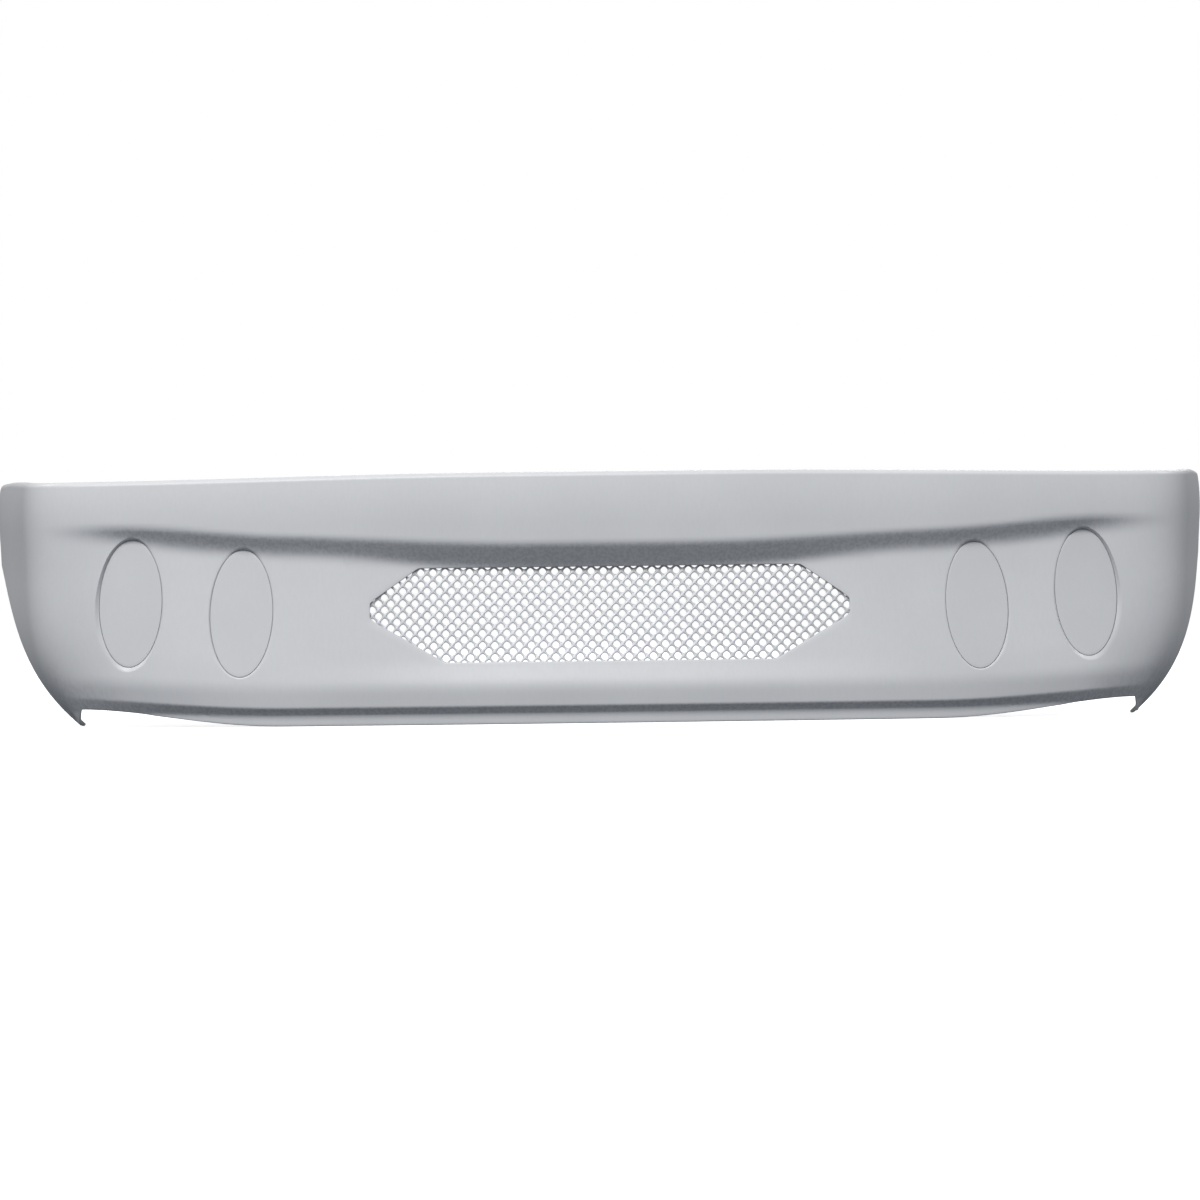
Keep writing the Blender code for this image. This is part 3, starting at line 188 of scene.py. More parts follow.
# Sides of the grille outline that carry a stud: name and corner numbers
SEAT_SIDES = (
    ("right_lower", 1, 2),
    ("right_tip", 2, 3),
    ("right_upper", 3, 4),
    ("left_upper", 5, 6),
    ("left_tip", 6, 7),
    ("left_lower", 7, 0),
)

# Fine grid of the skin: stations with the longest step up to the next one
COLUMN_ANCHORS = (
    (0.0, 0.0030),
    (0.0105, 0.0055),
    (0.2405, 0.0035),
    (0.2685, 0.0055),
    (0.350, 0.0055),
)
CORNER_ANCHORS = (
    (0.695, 0.0018),
    (0.7225, 0.0040),
    (0.8290, 0.0020),
    (0.8650, 0.0055),
)
COLUMN_STEP = 0.0050
HOLE_STEP = 0.0035
ARCH_STEP = 0.0020
STEP_SLACK = 1e-9
HOLE_HALF = 0.0105
SIDE_HOLE_HALF = 0.014
LAMP_BLOCK_S = 0.056
ROW_ANCHORS = (
    (0.0, 0.0032),
    (0.012, 0.0013),
    (0.026, 0.0034),
    (0.056, 0.0040),
    (0.068, 0.0045),
    (0.222, 0.0040),
    (0.248, 0.0045),
    (0.262, 0.0050),
    (0.321, 0.0050),
)
ROW_KNEE = 0.056
ROW_SPLIT = 0.022
FOLD_STEPS = 7
FLANGE_STEPS = (2, 8, 2)
FLANGE_SHARES = (0.2, 0.8)
GRILLE_BLOCK_S = 0.350
GRILLE_ROWS = (0.068, 0.222)
LAMP_OUTER_ROWS = (0.068, 0.262)
LAMP_INNER_ROWS = (0.056, 0.248)
RING_COUNT = 9
SCOOP_STEPS = 5
SCOOP_BEHIND = 0.6
EDGE_ROLL = 0.0012
ROLL_TURNS = (60.0, 30.0, 0.0, -30.0, -60.0)
ROLL_PROBE = 0.0001
APERTURE_ROLL = 0.0012
APERTURE_TURNS = (22.5, 45.0, 67.5, 90.0)
FLANGE_HOLE_R = 0.0045
FLANGE_HOLE_MID = 0.2545

# Full-pitch grille mesh
CELL_PITCH = 0.0159
CELL_HOLE = 0.0048
CELL_POWER = 1.5
CELL_SIDE_STEPS = 4
CELL_RINGS = ((0.0, 1.0), (0.5, 0.93), (0.82, 0.62), (1.0, 0.0))
CELL_TRIM = 0.0110
CELL_MERGE = 0.000002
CUT_MERGE = 0.0000001
MESH_SHARP = 60.0

# Bonded studs and nuts: shank radius, length, half width across flats, height
STUD_BASE_R = 0.009
STUD_BASE_T = 0.0012
STUD_EDGE = 0.35
STUD_CENTRE = 0.4
STUD_FILLET = ((1.45, 0.0), (1.12, 0.0002), (1.0, 0.0008))
STUD_THREAD_START = 0.0009
AXIS_LIMIT = 0.9
SMALL_STUD = (0.0025, 0.0140, 0.0040, 0.0040)
LARGE_STUD = (0.0030, 0.0180, 0.0050, 0.0050)
COVER_STUD = (0.0030, 0.0195, 0.0050, 0.0050)
RAIL_NUT = (0.0042, 0.0, 0.0065, 0.0065)
HOLE_CLEAR = 0.0005
THREAD_PITCH = 0.33
THREAD_DEPTH = 0.16
THREAD_RINGS = 5
THREAD_TAPER = 0.3
STUD_STEPS = 24
NUT_STEPS = 48
DRILL_STEPS = 32
NUT_BORE_GAP = 0.0001
NUT_CHAMFER = 0.125
NUT_CHAMFER_RINGS = 4
NUT_FACE = 0.95
NUT_SLOPE = 1.73
NUT_MOUTH = 0.0006

# Rounding and shading of edges, in metres and degrees
EDGE_BEVEL = 0.0005
BEVEL_SEGMENTS = 2
BEVEL_ANGLE = 50.0
BEVEL_SHARP = 38.0
SHARP_ANGLE = 35.0
STUD_SHARP = 50.0
NUT_SHARP = 24.0
COVER_SHARP = 40.0

# Covers and straps
COVER_ROUND = 0.0008
COVER_CROWN = 0.0004
COVER_BOSS = 0.0008
COVER_CHAMFER = 0.0003
COVER_SHARES = (0.12, 0.3, 0.45, 0.6, 0.75, 0.87, 0.95, 1.0)
COVER_TURNS = (67.5, 45.0, 22.5, 0.0)
BACK_SHARES = (0.2, 0.4, 0.6, 0.8)
SHANK_FOOT = 0.0001
SHANK_THREAD_START = 0.0002
BOSS_RINGS = ((0.0125, 0.0), (0.0085, 0.0008), (0.0070, 0.0024), (0.0055, 0.0030))
STRAP_HALF = 0.0405
STRAP_WIDTH = 0.018
STRAP_T = 0.0025
STRAP_ROUND = 0.004
STRAP_STEPS = 6

# Upper mounting rail
RAIL_HALF = 0.560
RAIL_IN = 0.0045
RAIL_OUT = 0.0265
RAIL_T = 0.003
RAIL_STATIONS = 64
RAIL_HOLE_W = 0.0150
RAIL_NAMES = ("far_left", "left", "middle", "right", "far_right")

# Beam brackets
BEAM_X = 0.382
BEAM_Z = 0.142
BEAM_HALF_W = 0.029
BEAM_HALF_H = 0.055
BEAM_T = 0.004
BEAM_REAR_Y = 0.010
BEAM_STUD_Z = 0.036
BEAM_BOLT_Z = 0.030
BEAM_BOLT_R = 0.00525
BEAM_BEND = 0.009

# Side brackets
SIDE_S = 1.072
SIDE_Z = 0.262
SIDE_HALF_W = 0.026
SIDE_HALF_H = 0.026
SIDE_T = 0.003
SIDE_TAB = 0.038
SIDE_STUD_S = 0.013
SIDE_STUD_LOW = 0.25
SIDE_BOLT_IN = 0.4
SIDE_BOLT_R = 0.0045
SIDE_BEND = 0.0065
BEND_STEPS = 8
BEND_LEVELS = 4
CORNER_CUT = 0.006
CORNER_STEPS = 6
PROBE_STEPS = 8

SIDES = ((-1, "left"), (1, "right"))

# Camera, colours, floor, sky (axis; range along it, strength at both ends) and lights
CAMERA_PLACE = (-0.1695, -6.500, 0.200)
CAMERA_YAW = 1.42
CAMERA_PITCH = -0.362
CAMERA_ROLL = 0.692
CAMERA_LENS = 145.17
SENSOR = 36.0
GEL_LIGHT = (1.04, 1.055, 1.085)
GEL_DARK = (0.98, 0.995, 1.025)
# Dark streak colour, laid mostly on downward-facing faces as painted shade
GEL_SHADE_STREAK = (0.36, 0.37, 0.39)
FLOOR_Z = -0.0004
FLOOR_RADII = (3.0, 12.0, 60.0)
FLOOR_STEPS = 64
FLOOR_GLOW = 0.60
SKY_LEVELS = ((1, (0.3, -0.9, 0.36, 0.79)), (2, (-0.30, 0.35, 0.30, 1.0)))
SKY_TINT = (0.80, 0.91, 1.08, 1.0)
WHITE = (1.0, 1.0, 1.0, 1.0)
FAR = 200.0
NOISE_ROUGH = 0.55
LIGHTS = (
    ("key", (-1.25, -4.8, 4.4), 3.2, 2.6, 312.0, (0.0, -0.1, 0.15)),
    ("left", (-4.0, 0.1, 4.2), 2.0, 1.6, 88.0, (-0.8, 0.0, 0.2)),
    ("right", (4.0, 0.1, 4.2), 2.0, 1.6, 84.0, (0.8, 0.0, 0.2)),
    ("rear", (1.2, 4.6, 3.2), 3.0, 2.0, 55.0, (0.0, 0.0, 0.15)),
)


# ---------------------------------------------------------------- form of the skin
def blend(t, low, high):
    """Smooth step from 0 at low to 1 at high."""
    u = np.clip((t - low) / (high - low), 0.0, 1.0)
    return u * u * (3.0 - 2.0 * u)


def soft_ramp(t, soft):
    """Zero below -soft, t above soft, with a smooth curve between."""
    u = np.clip(t, -soft, soft)
    curve = (u + soft) ** 3 * (3.0 * soft - u) / (16.0 * soft ** 3)
    return np.where(t > soft, t, curve)


def soft_line(t, knots, values, softs):
    """A line through knots whose inner corners are rounded by their softness."""
    slopes = [
        (values[k + 1] - values[k]) / (knots[k + 1] - knots[k])
        for k in range(len(knots) - 1)
    ]
    total = values[0] + slopes[0] * (t - knots[0])
    for k in range(1, len(slopes)):
        turn = slopes[k] - slopes[k - 1]
        total = total + turn * soft_ramp(t - knots[k], softs[k])
    return total


def plan_table():
    """Arc length, x, y and heading along one half of the plan curve."""
    arc = np.linspace(0.0, SIDE_REACH + PLAN_MARGIN, PLAN_STEPS)
    heading = np.radians(soft_line(arc, PLAN_ARC, PLAN_HEADING, [PLAN_SOFT] * 4))
    heading = heading - heading[0]
    step = arc[1] - arc[0]
    mid = 0.5 * (heading[1:] + heading[:-1])
    x = np.concatenate(([0.0], np.cumsum(np.cos(mid)) * step))
    y = np.concatenate(([0.0], np.cumsum(np.sin(mid)) * step))
    return arc, x, FRONT_Y + y, heading


PLAN = plan_table()


def plan_at(s):
    """Point and inward direction of the plan curve at signed arc length s."""
    side = np.where(s < 0.0, -1.0, 1.0)
    a = np.abs(s)
    x = np.interp(a, PLAN[0], PLAN[1]) * side
    y = np.interp(a, PLAN[0], PLAN[2])
    heading = np.interp(a, PLAN[0], PLAN[3])
    return x, y, -np.sin(heading) * side, np.cos(heading)


def face_depth(s, z):
    """Depth of the outer face behind the plan curve."""
    a = np.abs(s)
    fade = 1.0 - blend(a, *RECESS_FADE_SPAN)
    rise = blend(a, *LOWER_RISE_SPAN)
    swept = RECESS_DEPTH - RECESS_SWEEP * a * a - RECESS_DEPTH_END
    deep = (RECESS_DEPTH_END + soft_ramp(swept, RECESS_SOFT)) * fade
    foot = FOOT_DEPTH + (FOOT_DEPTH_END - FOOT_DEPTH) * blend(a, *FOOT_SPAN)
    brow_z = BROW_Z + BROW_RISE * blend(a, *BROW_RISE_SPAN)
    brow_z = brow_z + BROW_RISE_END * blend(a, *BROW_RISE_END_SPAN)
    outer = blend(a, *FLOOR_SPAN)
    slope = BROW_SLOPE + (BROW_SLOPE_END - BROW_SLOPE) * outer
    floor_z = brow_z - BROW_MIN - (deep - BROW_DEPTH * fade) * slope
    knots = (
        BELOW_Z + 0.0 * a,
        STRIP_TOP_Z + LOWER_RISE[0] * rise,
        TURN_Z + LOWER_RISE[1] * rise,
        EDGE_Z + LOWER_RISE[2] * rise,
        FOOT_Z + LOWER_RISE[2] * rise + FOOT_RISE * rise,
        floor_z,
        brow_z,
        ABOVE_Z + 0.0 * a,
    )
    strip = STRIP_DEPTH + STRIP_SINK * rise
    depths = (
        strip,
        strip,
        TURN_DEPTH + TURN_SINK * rise,
        0.0 * a,
        foot * fade,
        deep,
        BROW_DEPTH * fade,
        0.0 * a,
    )
    floor_soft = FLOOR_SOFT + (FLOOR_SOFT_END - FLOOR_SOFT) * outer
    softs = (*LOWER_SOFTS, floor_soft, BROW_SOFT)
    front = soft_line(z, knots, depths, softs)
    tuck = TUCK_DEPTH * np.clip((TUCK_TOP - z) / TUCK_TOP, 0.0, None) ** TUCK_POWER
    tuck = tuck + SIDE_TAPER * (1.0 - blend(z, SIDE_TAPER_LOW, HEIGHT))
    side_share = blend(a, *SIDE_BLEND_SPAN)
    crown = CROWN_DEPTH * np.clip((z - CROWN_Z) / (HEIGHT - CROWN_Z), 0.0, None) ** 2
    return front * (1.0 - side_share) + tuck * side_share + crown


def top_z(s):
    """Height of the top edge: a slight crown and a rounded rear corner."""
    a = np.abs(s)
    crown = TOP_CROWN * blend(a, *TOP_CROWN_SPAN)
    crown = crown - SIDE_TOP_RISE * blend(a, *SIDE_TOP_SPAN)
    past = np.clip(a - (SIDE_REACH - ARCH_CORNER_R), 0.0, ARCH_CORNER_R)
    corner = ARCH_CORNER_R - np.sqrt(ARCH_CORNER_R ** 2 - past ** 2)
    return HEIGHT - crown - corner


def bottom_z(s):
    """Height of the lower edge: lip, notch, wheel-arch fang and wheel arch."""
    a = np.abs(s)
    lip = LIP_RISE * blend(a, *LIP_RISE_SPAN) ** LIP_POWER
    drop = blend(a, FANG_ROOT_ARC, FANG_FRONT_ARC)
    toe = FANG_TOE_Z * (1.0 - blend(a, FANG_FRONT_ARC, FANG_REST_ARC))
    run = np.clip((a - FANG_HEEL_ARC) / (SIDE_REACH - FANG_HEEL_ARC), 0.0, 1.0)
    return lip * (1.0 - drop) + toe * drop + ARCH_TOP_Z * run ** ARCH_POWER


def outer_point(s, v):
    """Outer surface at arc length s; v is the height, then the length round the fold."""
    s, v = np.broadcast_arrays(np.asarray(s, float), np.asarray(v, float))
    edge = top_z(s) - FOLD_R
    bend = np.clip((v - edge) / FOLD_R, 0.0, math.pi / 2)
    past = np.clip(v - edge - FOLD_R * math.pi / 2, 0.0, None)
    face_z = np.minimum(v, edge)
    depth = face_depth(s, face_z) + FOLD_R * (1.0 - np.cos(bend)) + past
    x, y, nx, ny = plan_at(s)
    return np.stack((x + nx * depth, y + ny * depth, face_z + FOLD_R * np.sin(bend)), -1)


def outward(s, v):
    """Unit normal of the outer surface."""
    h = NORMAL_STEP
    along = outer_point(s + h, v) - outer_point(s - h, v)
    up = outer_point(s, v + h) - outer_point(s, v - h)
    normal = np.cross(along, up)
    return normal / np.linalg.norm(normal, axis=-1, keepdims=True)


def inner_point(s, v):
    """Inner surface, one skin thickness behind the outer one."""
    return outer_point(s, v) - SKIN_T * outward(s, v)


def arc_at(x, z):
    """Arc length at which the outer face has this x at height z."""
    s = np.array(x, float)
    for _ in range(ARC_PASSES):
        s = s + (x - outer_point(s, z)[..., 0])
    return s


def face_y(x, z):
    """Outer face as a height field over the front view."""
    return outer_point(arc_at(x, z), z)[..., 1]


def back_y(x, z):
    """Inner face as a height field over the front view."""
    h = SLOPE_STEP
    slope_x = (face_y(x + h, z) - face_y(x - h, z)) / (2 * h)
    slope_z = (face_y(x, z + h) - face_y(x, z - h)) / (2 * h)
    return face_y(x, z) + SKIN_T * np.sqrt(1.0 + slope_x ** 2 + slope_z ** 2)


# ---------------------------------------------------------------- outlines
def rounded_outline(corners, radius, steps):
    """Closed outline with each corner replaced by an arc, as points and arc middles."""
    points = []
    middles = []
    count = len(corners)
    for k in range(count):
        here = np.array(corners[k])
        before = np.array(corners[k - 1]) - here
        after = np.array(corners[(k + 1) % count]) - here
        before = before / np.linalg.norm(before)
        after = after / np.linalg.norm(after)
        half = math.acos(float(np.clip(before @ after, -1.0, 1.0))) / 2
        reach = radius / math.tan(half)
        start = here + before * reach
        end = here + after * reach
        inward = (before + after) / np.linalg.norm(before + after)
        centre = here + inward * radius / math.sin(half)
        turn0 = math.atan2(*(start - centre)[::-1])
        turn = math.atan2(*(end - centre)[::-1]) - turn0
        turn = (turn + math.pi) % (2 * math.pi) - math.pi
        middles.append(len(points) + steps // 2)
        for i in range(steps + 1):
            angle = turn0 + turn * i / steps
            points.append(centre + radius * np.array((math.cos(angle), math.sin(angle))))
    return np.array(points), middles


def grille_corners(grow=0.0):
    """Corners of the grille aperture, from the lower left round, pushed outwards."""
    half = [
        (GRILLE_FOOT_X, GRILLE_FOOT_Z),
        (GRILLE_TIP_X, GRILLE_TIP_LOW_Z),
        (GRILLE_TIP_X, GRILLE_TIP_HIGH_Z),
        (GRILLE_TOP_X, GRILLE_TOP_Z),
    ]
    mirrored = [(-x, z) for x, z in reversed(half)]
    corners = np.array(mirrored[-1:] + half + mirrored[:-1])
    along = np.roll(corners, -1, axis=0) - corners
    along = along / np.linalg.norm(along, axis=1, keepdims=True)
    after = np.stack((along[:, 1], -along[:, 0]), -1)
    before = np.roll(after, 1, axis=0)
    meet = 1.0 + np.sum(before * after, axis=1, keepdims=True)
    return corners + grow * (before + after) / meet


def lamp_list():
    """Name, side, centre and scoop width of the four lamp openings."""
    lamps = []
    for side, word in SIDES:
        lamps.append(("outer_" + word, side, side * LAMP_OUTER[0], LAMP_OUTER[1], LAMP_SCOOP))
        lamps.append(("inner_" + word, side, side * LAMP_INNER[0], LAMP_INNER[1], 0.0))
    return lamps


def full_turn(steps):
    """Evenly spaced angles round a full turn."""
    return np.linspace(0.0, 2 * math.pi, steps + 1)[:-1]


def ellipse_at(lamp, angle, grow):
    """Points of a lamp outline in the front view, grown outwards."""
    _, side, cx, cz, _ = lamp
    lean = math.radians(LAMP_LEAN) * side
    u = (LAMP_A + grow) * np.cos(angle)
    w = (LAMP_B + grow) * np.sin(angle)
    return (
        cx + u * math.cos(lean) - w * math.sin(lean),
        cz + u * math.sin(lean) + w * math.cos(lean),
    )


def scoop_at(lamp, angle, step):
    """Width of the sloped edge round a lamp opening: wide at the lower outboard side."""
    toward = -math.pi / 2 + lamp[1] * math.radians(LAMP_SCOOP_TURN)
    scoop = lamp[4] * np.clip(np.cos(angle - toward), 0.0, None) ** 2
    return LAMP_EDGE + np.clip(LAMP_DRAFT * step, 0.0, LAMP_DRAFT_MAX) + scoop


def lamp_plane(lamp):
    """Plane of a cover's front face: just behind the surface all round its edge."""
    _, side, cx, cz, _ = lamp
    x, z = ellipse_at(lamp, full_turn(RIM_STEPS), 0.0)
    edge = face_y(x, z)
    slope_z = LAMP_PITCH if lamp[4] else LAMP_PITCH_INNER
    slope_x = side * math.tan(math.radians(LAMP_YAW))
    level = np.max(edge - slope_x * (x - cx) - slope_z * (z - cz)) + LAMP_STEP
    return level, slope_x, slope_z


def plane_y(plane, lamp, x, z):
    """Height field of a lamp plane."""
    return plane[0] + plane[1] * (x - lamp[2]) + plane[2] * (z - lamp[3])


# ---------------------------------------------------------------- objects
def link_mesh(name, points, faces, materials, face_slots=None, sharp=SHARP_ANGLE):
    """One closed, smooth-shaded object with its faces turned outwards."""
    mesh = bpy.data.meshes.new(name)
    mesh.from_pydata([tuple(map(float, p)) for p in points], [], faces)
    for material in materials:
        mesh.materials.append(material)
    if face_slots is not None:
        mesh.polygons.foreach_set("material_index", face_slots)
    bm = bmesh.new()
    bm.from_mesh(mesh)
    bmesh.ops.recalc_face_normals(bm, faces=bm.faces)
    if bm.calc_volume(signed=True) < 0.0:
        bmesh.ops.reverse_faces(bm, faces=bm.faces)
    bm.to_mesh(mesh)
    bm.free()
    mesh.shade_smooth()
    mesh.set_sharp_from_angle(angle=math.radians(sharp))
    obj = bpy.data.objects.new(name, mesh)
    bpy.context.scene.collection.objects.link(obj)
    return obj


def register(obj, slot, *nodes):
    """Rides a piece on the frame in place of its CAD nodes."""
    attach(obj, BODY)
    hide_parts(*nodes)


def round_edges(obj):
    """Rounds the sharp edges of a plate."""
    bevel = obj.modifiers.new("edge_rounding", "BEVEL")
    bevel.width = EDGE_BEVEL
    bevel.segments = BEVEL_SEGMENTS
    bevel.limit_method = "ANGLE"
    bevel.angle_limit = math.radians(BEVEL_ANGLE)
    graph = bpy.context.evaluated_depsgraph_get()
    rounded = bpy.data.meshes.new_from_object(obj.evaluated_get(graph))
    obj.modifiers.clear()
    obj.data = rounded
    rounded.shade_smooth()
    rounded.set_sharp_from_angle(angle=math.radians(BEVEL_SHARP))


# ---------------------------------------------------------------- fine skin
def spread(low, high, count):
    """Evenly spaced stations from low to high, both included."""
    return [low + (high - low) * k / count for k in range(count + 1)]


def stations(anchors, end):
    """Stations that include every anchor, no further apart than its step, up to the end."""
    values = [anchors[0][0]]
    limits = [a for a, _ in anchors[1:]] + [end]
    for (low, step), high in zip(anchors, limits):
        parts = max(1, math.ceil((high - low) / step - STEP_SLACK))
        values += [low + (high - low) * k / parts for k in range(1, parts + 1)]
    return values


def lamp_span(x):
    """Arc-length range of a lamp block on the right-hand side."""
    s = float(arc_at(np.array(x), LAMP_SPAN_Z))
    return s - LAMP_BLOCK_S, s + LAMP_BLOCK_S


def perimeter(i0, i1, j0, j1):
    """Grid nodes round a block, counter-clockwise from its lower left corner."""
    nodes = [(i, j0) for i in range(i0, i1)]
    nodes += [(i1, j) for j in range(j0, j1)]
    nodes += [(i, j1) for i in range(i1, i0, -1)]
    nodes += [(i0, j) for j in range(j1, j0, -1)]
    return nodes


def mix(start, end, share):
    """Straight blend of two arrays."""
    return start + (end - start) * share


def raise_to(height, flat):
    """Front-view points (x, z) placed at the depths of a height field."""
    return np.stack((flat[:, 0], height(flat[:, 0], flat[:, 1]), flat[:, 1]), -1)


def rim_angles(lamp, edge):
    """Angle on a lamp outline that belongs to each point of the block's edge."""
    half = 0.5 * np.ptp(edge, axis=0)
    return np.arctan2((edge[:, 2] - lamp[3]) / half[2], (edge[:, 0] - lamp[2]) / half[0])


def flange_rings(s, v):
    """The round hole in a block of the top flange, on both surfaces."""
    mid_s, mid_v = 0.5 * (s.min() + s.max()), 0.5 * (v.min() + v.max())
    angle = np.arctan2((v - mid_v) / np.ptp(v), (s - mid_s) / np.ptp(s))
    hole_s = mid_s + FLANGE_HOLE_R * np.cos(angle)
    hole_v = mid_v + FLANGE_HOLE_R * np.sin(angle)
    return [outer_point(hole_s, hole_v)], [inner_point(hole_s, hole_v)]


def index_of(values, wanted):
    """Index of the station nearest to a wanted value."""
    return int(np.argmin(np.abs(np.asarray(values) - wanted)))


def skin_columns():
    """Arc lengths of the grid columns, the last ones an edge roll short of the ends."""
    anchors = list(COLUMN_ANCHORS)
    low, high = lamp_span(LAMP_INNER[0])
    middle = 0.5 * (low + high)
    anchors += [(low, COLUMN_STEP), (middle - HOLE_HALF, HOLE_STEP)]
    anchors += [(middle + HOLE_HALF, COLUMN_STEP), (high, COLUMN_STEP)]
    low, high = lamp_span(LAMP_OUTER[0])
    anchors += [(low, COLUMN_STEP), (high, COLUMN_STEP), *CORNER_ANCHORS]
    anchors.append((SIDE_REACH - ARCH_CORNER_R, ARCH_STEP))
    half = stations(anchors, SIDE_REACH - EDGE_ROLL)
    return np.array([-s for s in reversed(half[1:])] + half)


def flange_width(s):
    """Width of the top flange at arc length s."""
    share = blend(abs(s), *FLANGE_TAPER_SPAN)
    return FLANGE_W + (FLANGE_W_SIDE - FLANGE_W) * share


def face_rows():
    """Nominal heights of the grid rows on the face."""
    return stations(ROW_ANCHORS[:-1], ROW_ANCHORS[-1][0])


def skin_rows(s, heights):
    """Profile stations of the column at arc length s, short of both edges by the roll."""
    low = bottom_z(s) + EDGE_ROLL
    high = top_z(s) - FOLD_R
    split = np.maximum(ROW_KNEE, low + ROW_SPLIT)
    rows = []
    for z in heights:
        if z <= ROW_KNEE:
            rows.append(low + (split - low) * z / ROW_KNEE)
        else:
            rows.append(split + (high - split) * (z - ROW_KNEE) / (ROW_ANCHORS[-1][0] - ROW_KNEE))
    arc = FOLD_R * math.pi / 2
    rows += [high + arc * k / FOLD_STEPS for k in range(1, FOLD_STEPS + 1)]
    width = flange_width(s)
    stops = (0.0, *(width * share for share in FLANGE_SHARES), width - EDGE_ROLL)
    for low, end, parts in zip(stops, stops[1:], FLANGE_STEPS):
        rows += [high + arc + low + (end - low) * k / parts for k in range(1, parts + 1)]
    return rows


def grille_targets(share_x, share_z, edge, grow):
    """Points of the grille outline met from the edge of the block round it."""
    steps = GRILLE_CORNER_STEPS
    outline, middles = rounded_outline(grille_corners(grow), GRILLE_CORNER_R, steps)
    outline = np.roll(outline, -middles[-1], axis=0)
    q = steps + 1
    chains = {
        "foot": outline[: 3 * q + 1],
        "right": outline[3 * q : 4 * q + 1],
        "top": outline[4 * q : 7 * q + 1][::-1],
        "left": np.vstack((outline[7 * q :], outline[:1]))[::-1],
    }
    targets = []
    for k, name in enumerate(edge):
        chain = chains[name]
        if name in ("foot", "top"):
            x = chain[0, 0] + (chain[-1, 0] - chain[0, 0]) * 0.5 * (share_x[k] + 1.0)
            targets.append((x, np.interp(x, chain[:, 0], chain[:, 1])))
        else:
            z = chain[0, 1] + (chain[-1, 1] - chain[0, 1]) * share_z[k]
            targets.append((np.interp(z, chain[:, 1], chain[:, 0]), z))
    return np.array(targets)


def grille_rings(block, columns, nodes, outer_edge, inner_edge):
    """Rings from the grille block's edge to the rolled aperture edge, on both surfaces."""
    i0, i1, j0, j1 = block
    edge = []
    for i, j in nodes:
        if j == j0 or j == j1:
            edge.append("foot" if j == j0 else "top")
        else:
            edge.append("left" if i == i0 else "right")
    share_x = [columns[i] / columns[i1] for i, j in nodes]
    low, high = outer_edge[:, 2].min(), outer_edge[:, 2].max()
    share_z = (outer_edge[:, 2] - low) / (high - low)
    rim = grille_targets(share_x, share_z, edge, APERTURE_ROLL)
    target = grille_targets(share_x, share_z, edge, 0.0)
    shares = [k / RING_COUNT for k in range(1, RING_COUNT + 1)]
    outer = [raise_to(face_y, mix(outer_edge[:, [0, 2]], rim, k)) for k in shares]
    for turn in np.radians(APERTURE_TURNS):
        ring = raise_to(face_y, mix(target, rim, 1.0 - math.sin(turn)))
        ring[:, 1] += APERTURE_ROLL * (1.0 - math.cos(turn))
        outer.append(ring)
    inner = [raise_to(back_y, mix(inner_edge[:, [0, 2]], target, k)) for k in shares]
    return outer, inner


def lamp_rings(lamp, outer_edge, inner_edge):
    """Rings from a lamp block's edge to its opening and ledge, on both surfaces."""
    plane = lamp_plane(lamp)
    flat_outer = outer_edge[:, [0, 2]]
    flat_inner = inner_edge[:, [0, 2]]
    angle = rim_angles(lamp, outer_edge)

    def ring(grow):
        return np.stack(ellipse_at(lamp, angle, grow), -1)

    def level(flat, behind):
        return raise_to(lambda x, z: plane_y(plane, lamp, x, z) + behind, flat)

    hole = ring(0.0)
    step = plane_y(plane, lamp, *hole.T) - face_y(*hole.T)
    width = scoop_at(lamp, angle, step)
    ledge = COVER_T + GAP
    shares = [k / RING_COUNT for k in range(1, RING_COUNT + 1)]
    outer = [raise_to(face_y, mix(flat_outer, ring(width), k)) for k in shares]
    for k in range(1, SCOOP_STEPS):
        share = k / SCOOP_STEPS
        sunk = 0.5 * share + 0.5 * share * share * (3.0 - 2.0 * share)
        flat = ring(width * (1.0 - share))
        face = raise_to(face_y, flat)
        face[:, 1] += (level(flat, -0.5 * LAMP_STEP)[:, 1] - face[:, 1]) * sunk
        outer.append(face)
    outer.append(level(hole, -0.5 * LAMP_STEP))
    outer.append(level(hole, ledge))
    outer.append(level(ring(-LAMP_LEDGE), ledge))
    behind = ring(SKIN_T + SCOOP_BEHIND * width)
    inner = [raise_to(back_y, mix(flat_inner, behind, k)) for k in shares]
    inner.append(level(ring(SKIN_T), ledge + SKIN_T))
    inner.append(level(ring(-LAMP_LEDGE), ledge + SKIN_T))
    return outer, inner


def skin_blocks(columns, heights):
    """Grid blocks that hold an opening: column and row ranges, kind and data."""
    blocks = []
    rows = [index_of(heights, z) for z in GRILLE_ROWS]
    ends = [index_of(columns, s) for s in (-GRILLE_BLOCK_S, GRILLE_BLOCK_S)]
    blocks.append((ends + rows, "grille", None))
    for lamp in lamp_list():
        low, high = lamp_span(abs(lamp[2]))
        ends = sorted(index_of(columns, s * lamp[1]) for s in (low, high))
        levels = LAMP_OUTER_ROWS if lamp[0].startswith("outer") else LAMP_INNER_ROWS
        rows = [index_of(heights, z) for z in levels]
        blocks.append((ends + rows, "lamp", lamp))
    first = len(heights) - 1 + FOLD_STEPS
    rows = [first + FLANGE_STEPS[0], first + FLANGE_STEPS[0] + FLANGE_STEPS[1]]
    for middle in rail_hole_arcs():
        half = SIDE_HOLE_HALF if abs(middle) == FLANGE_HOLE_MID else HOLE_HALF
        ends = [index_of(columns, middle + side * half) for side in (-1, 1)]
        blocks.append((ends + rows, "hole", None))
    return blocks


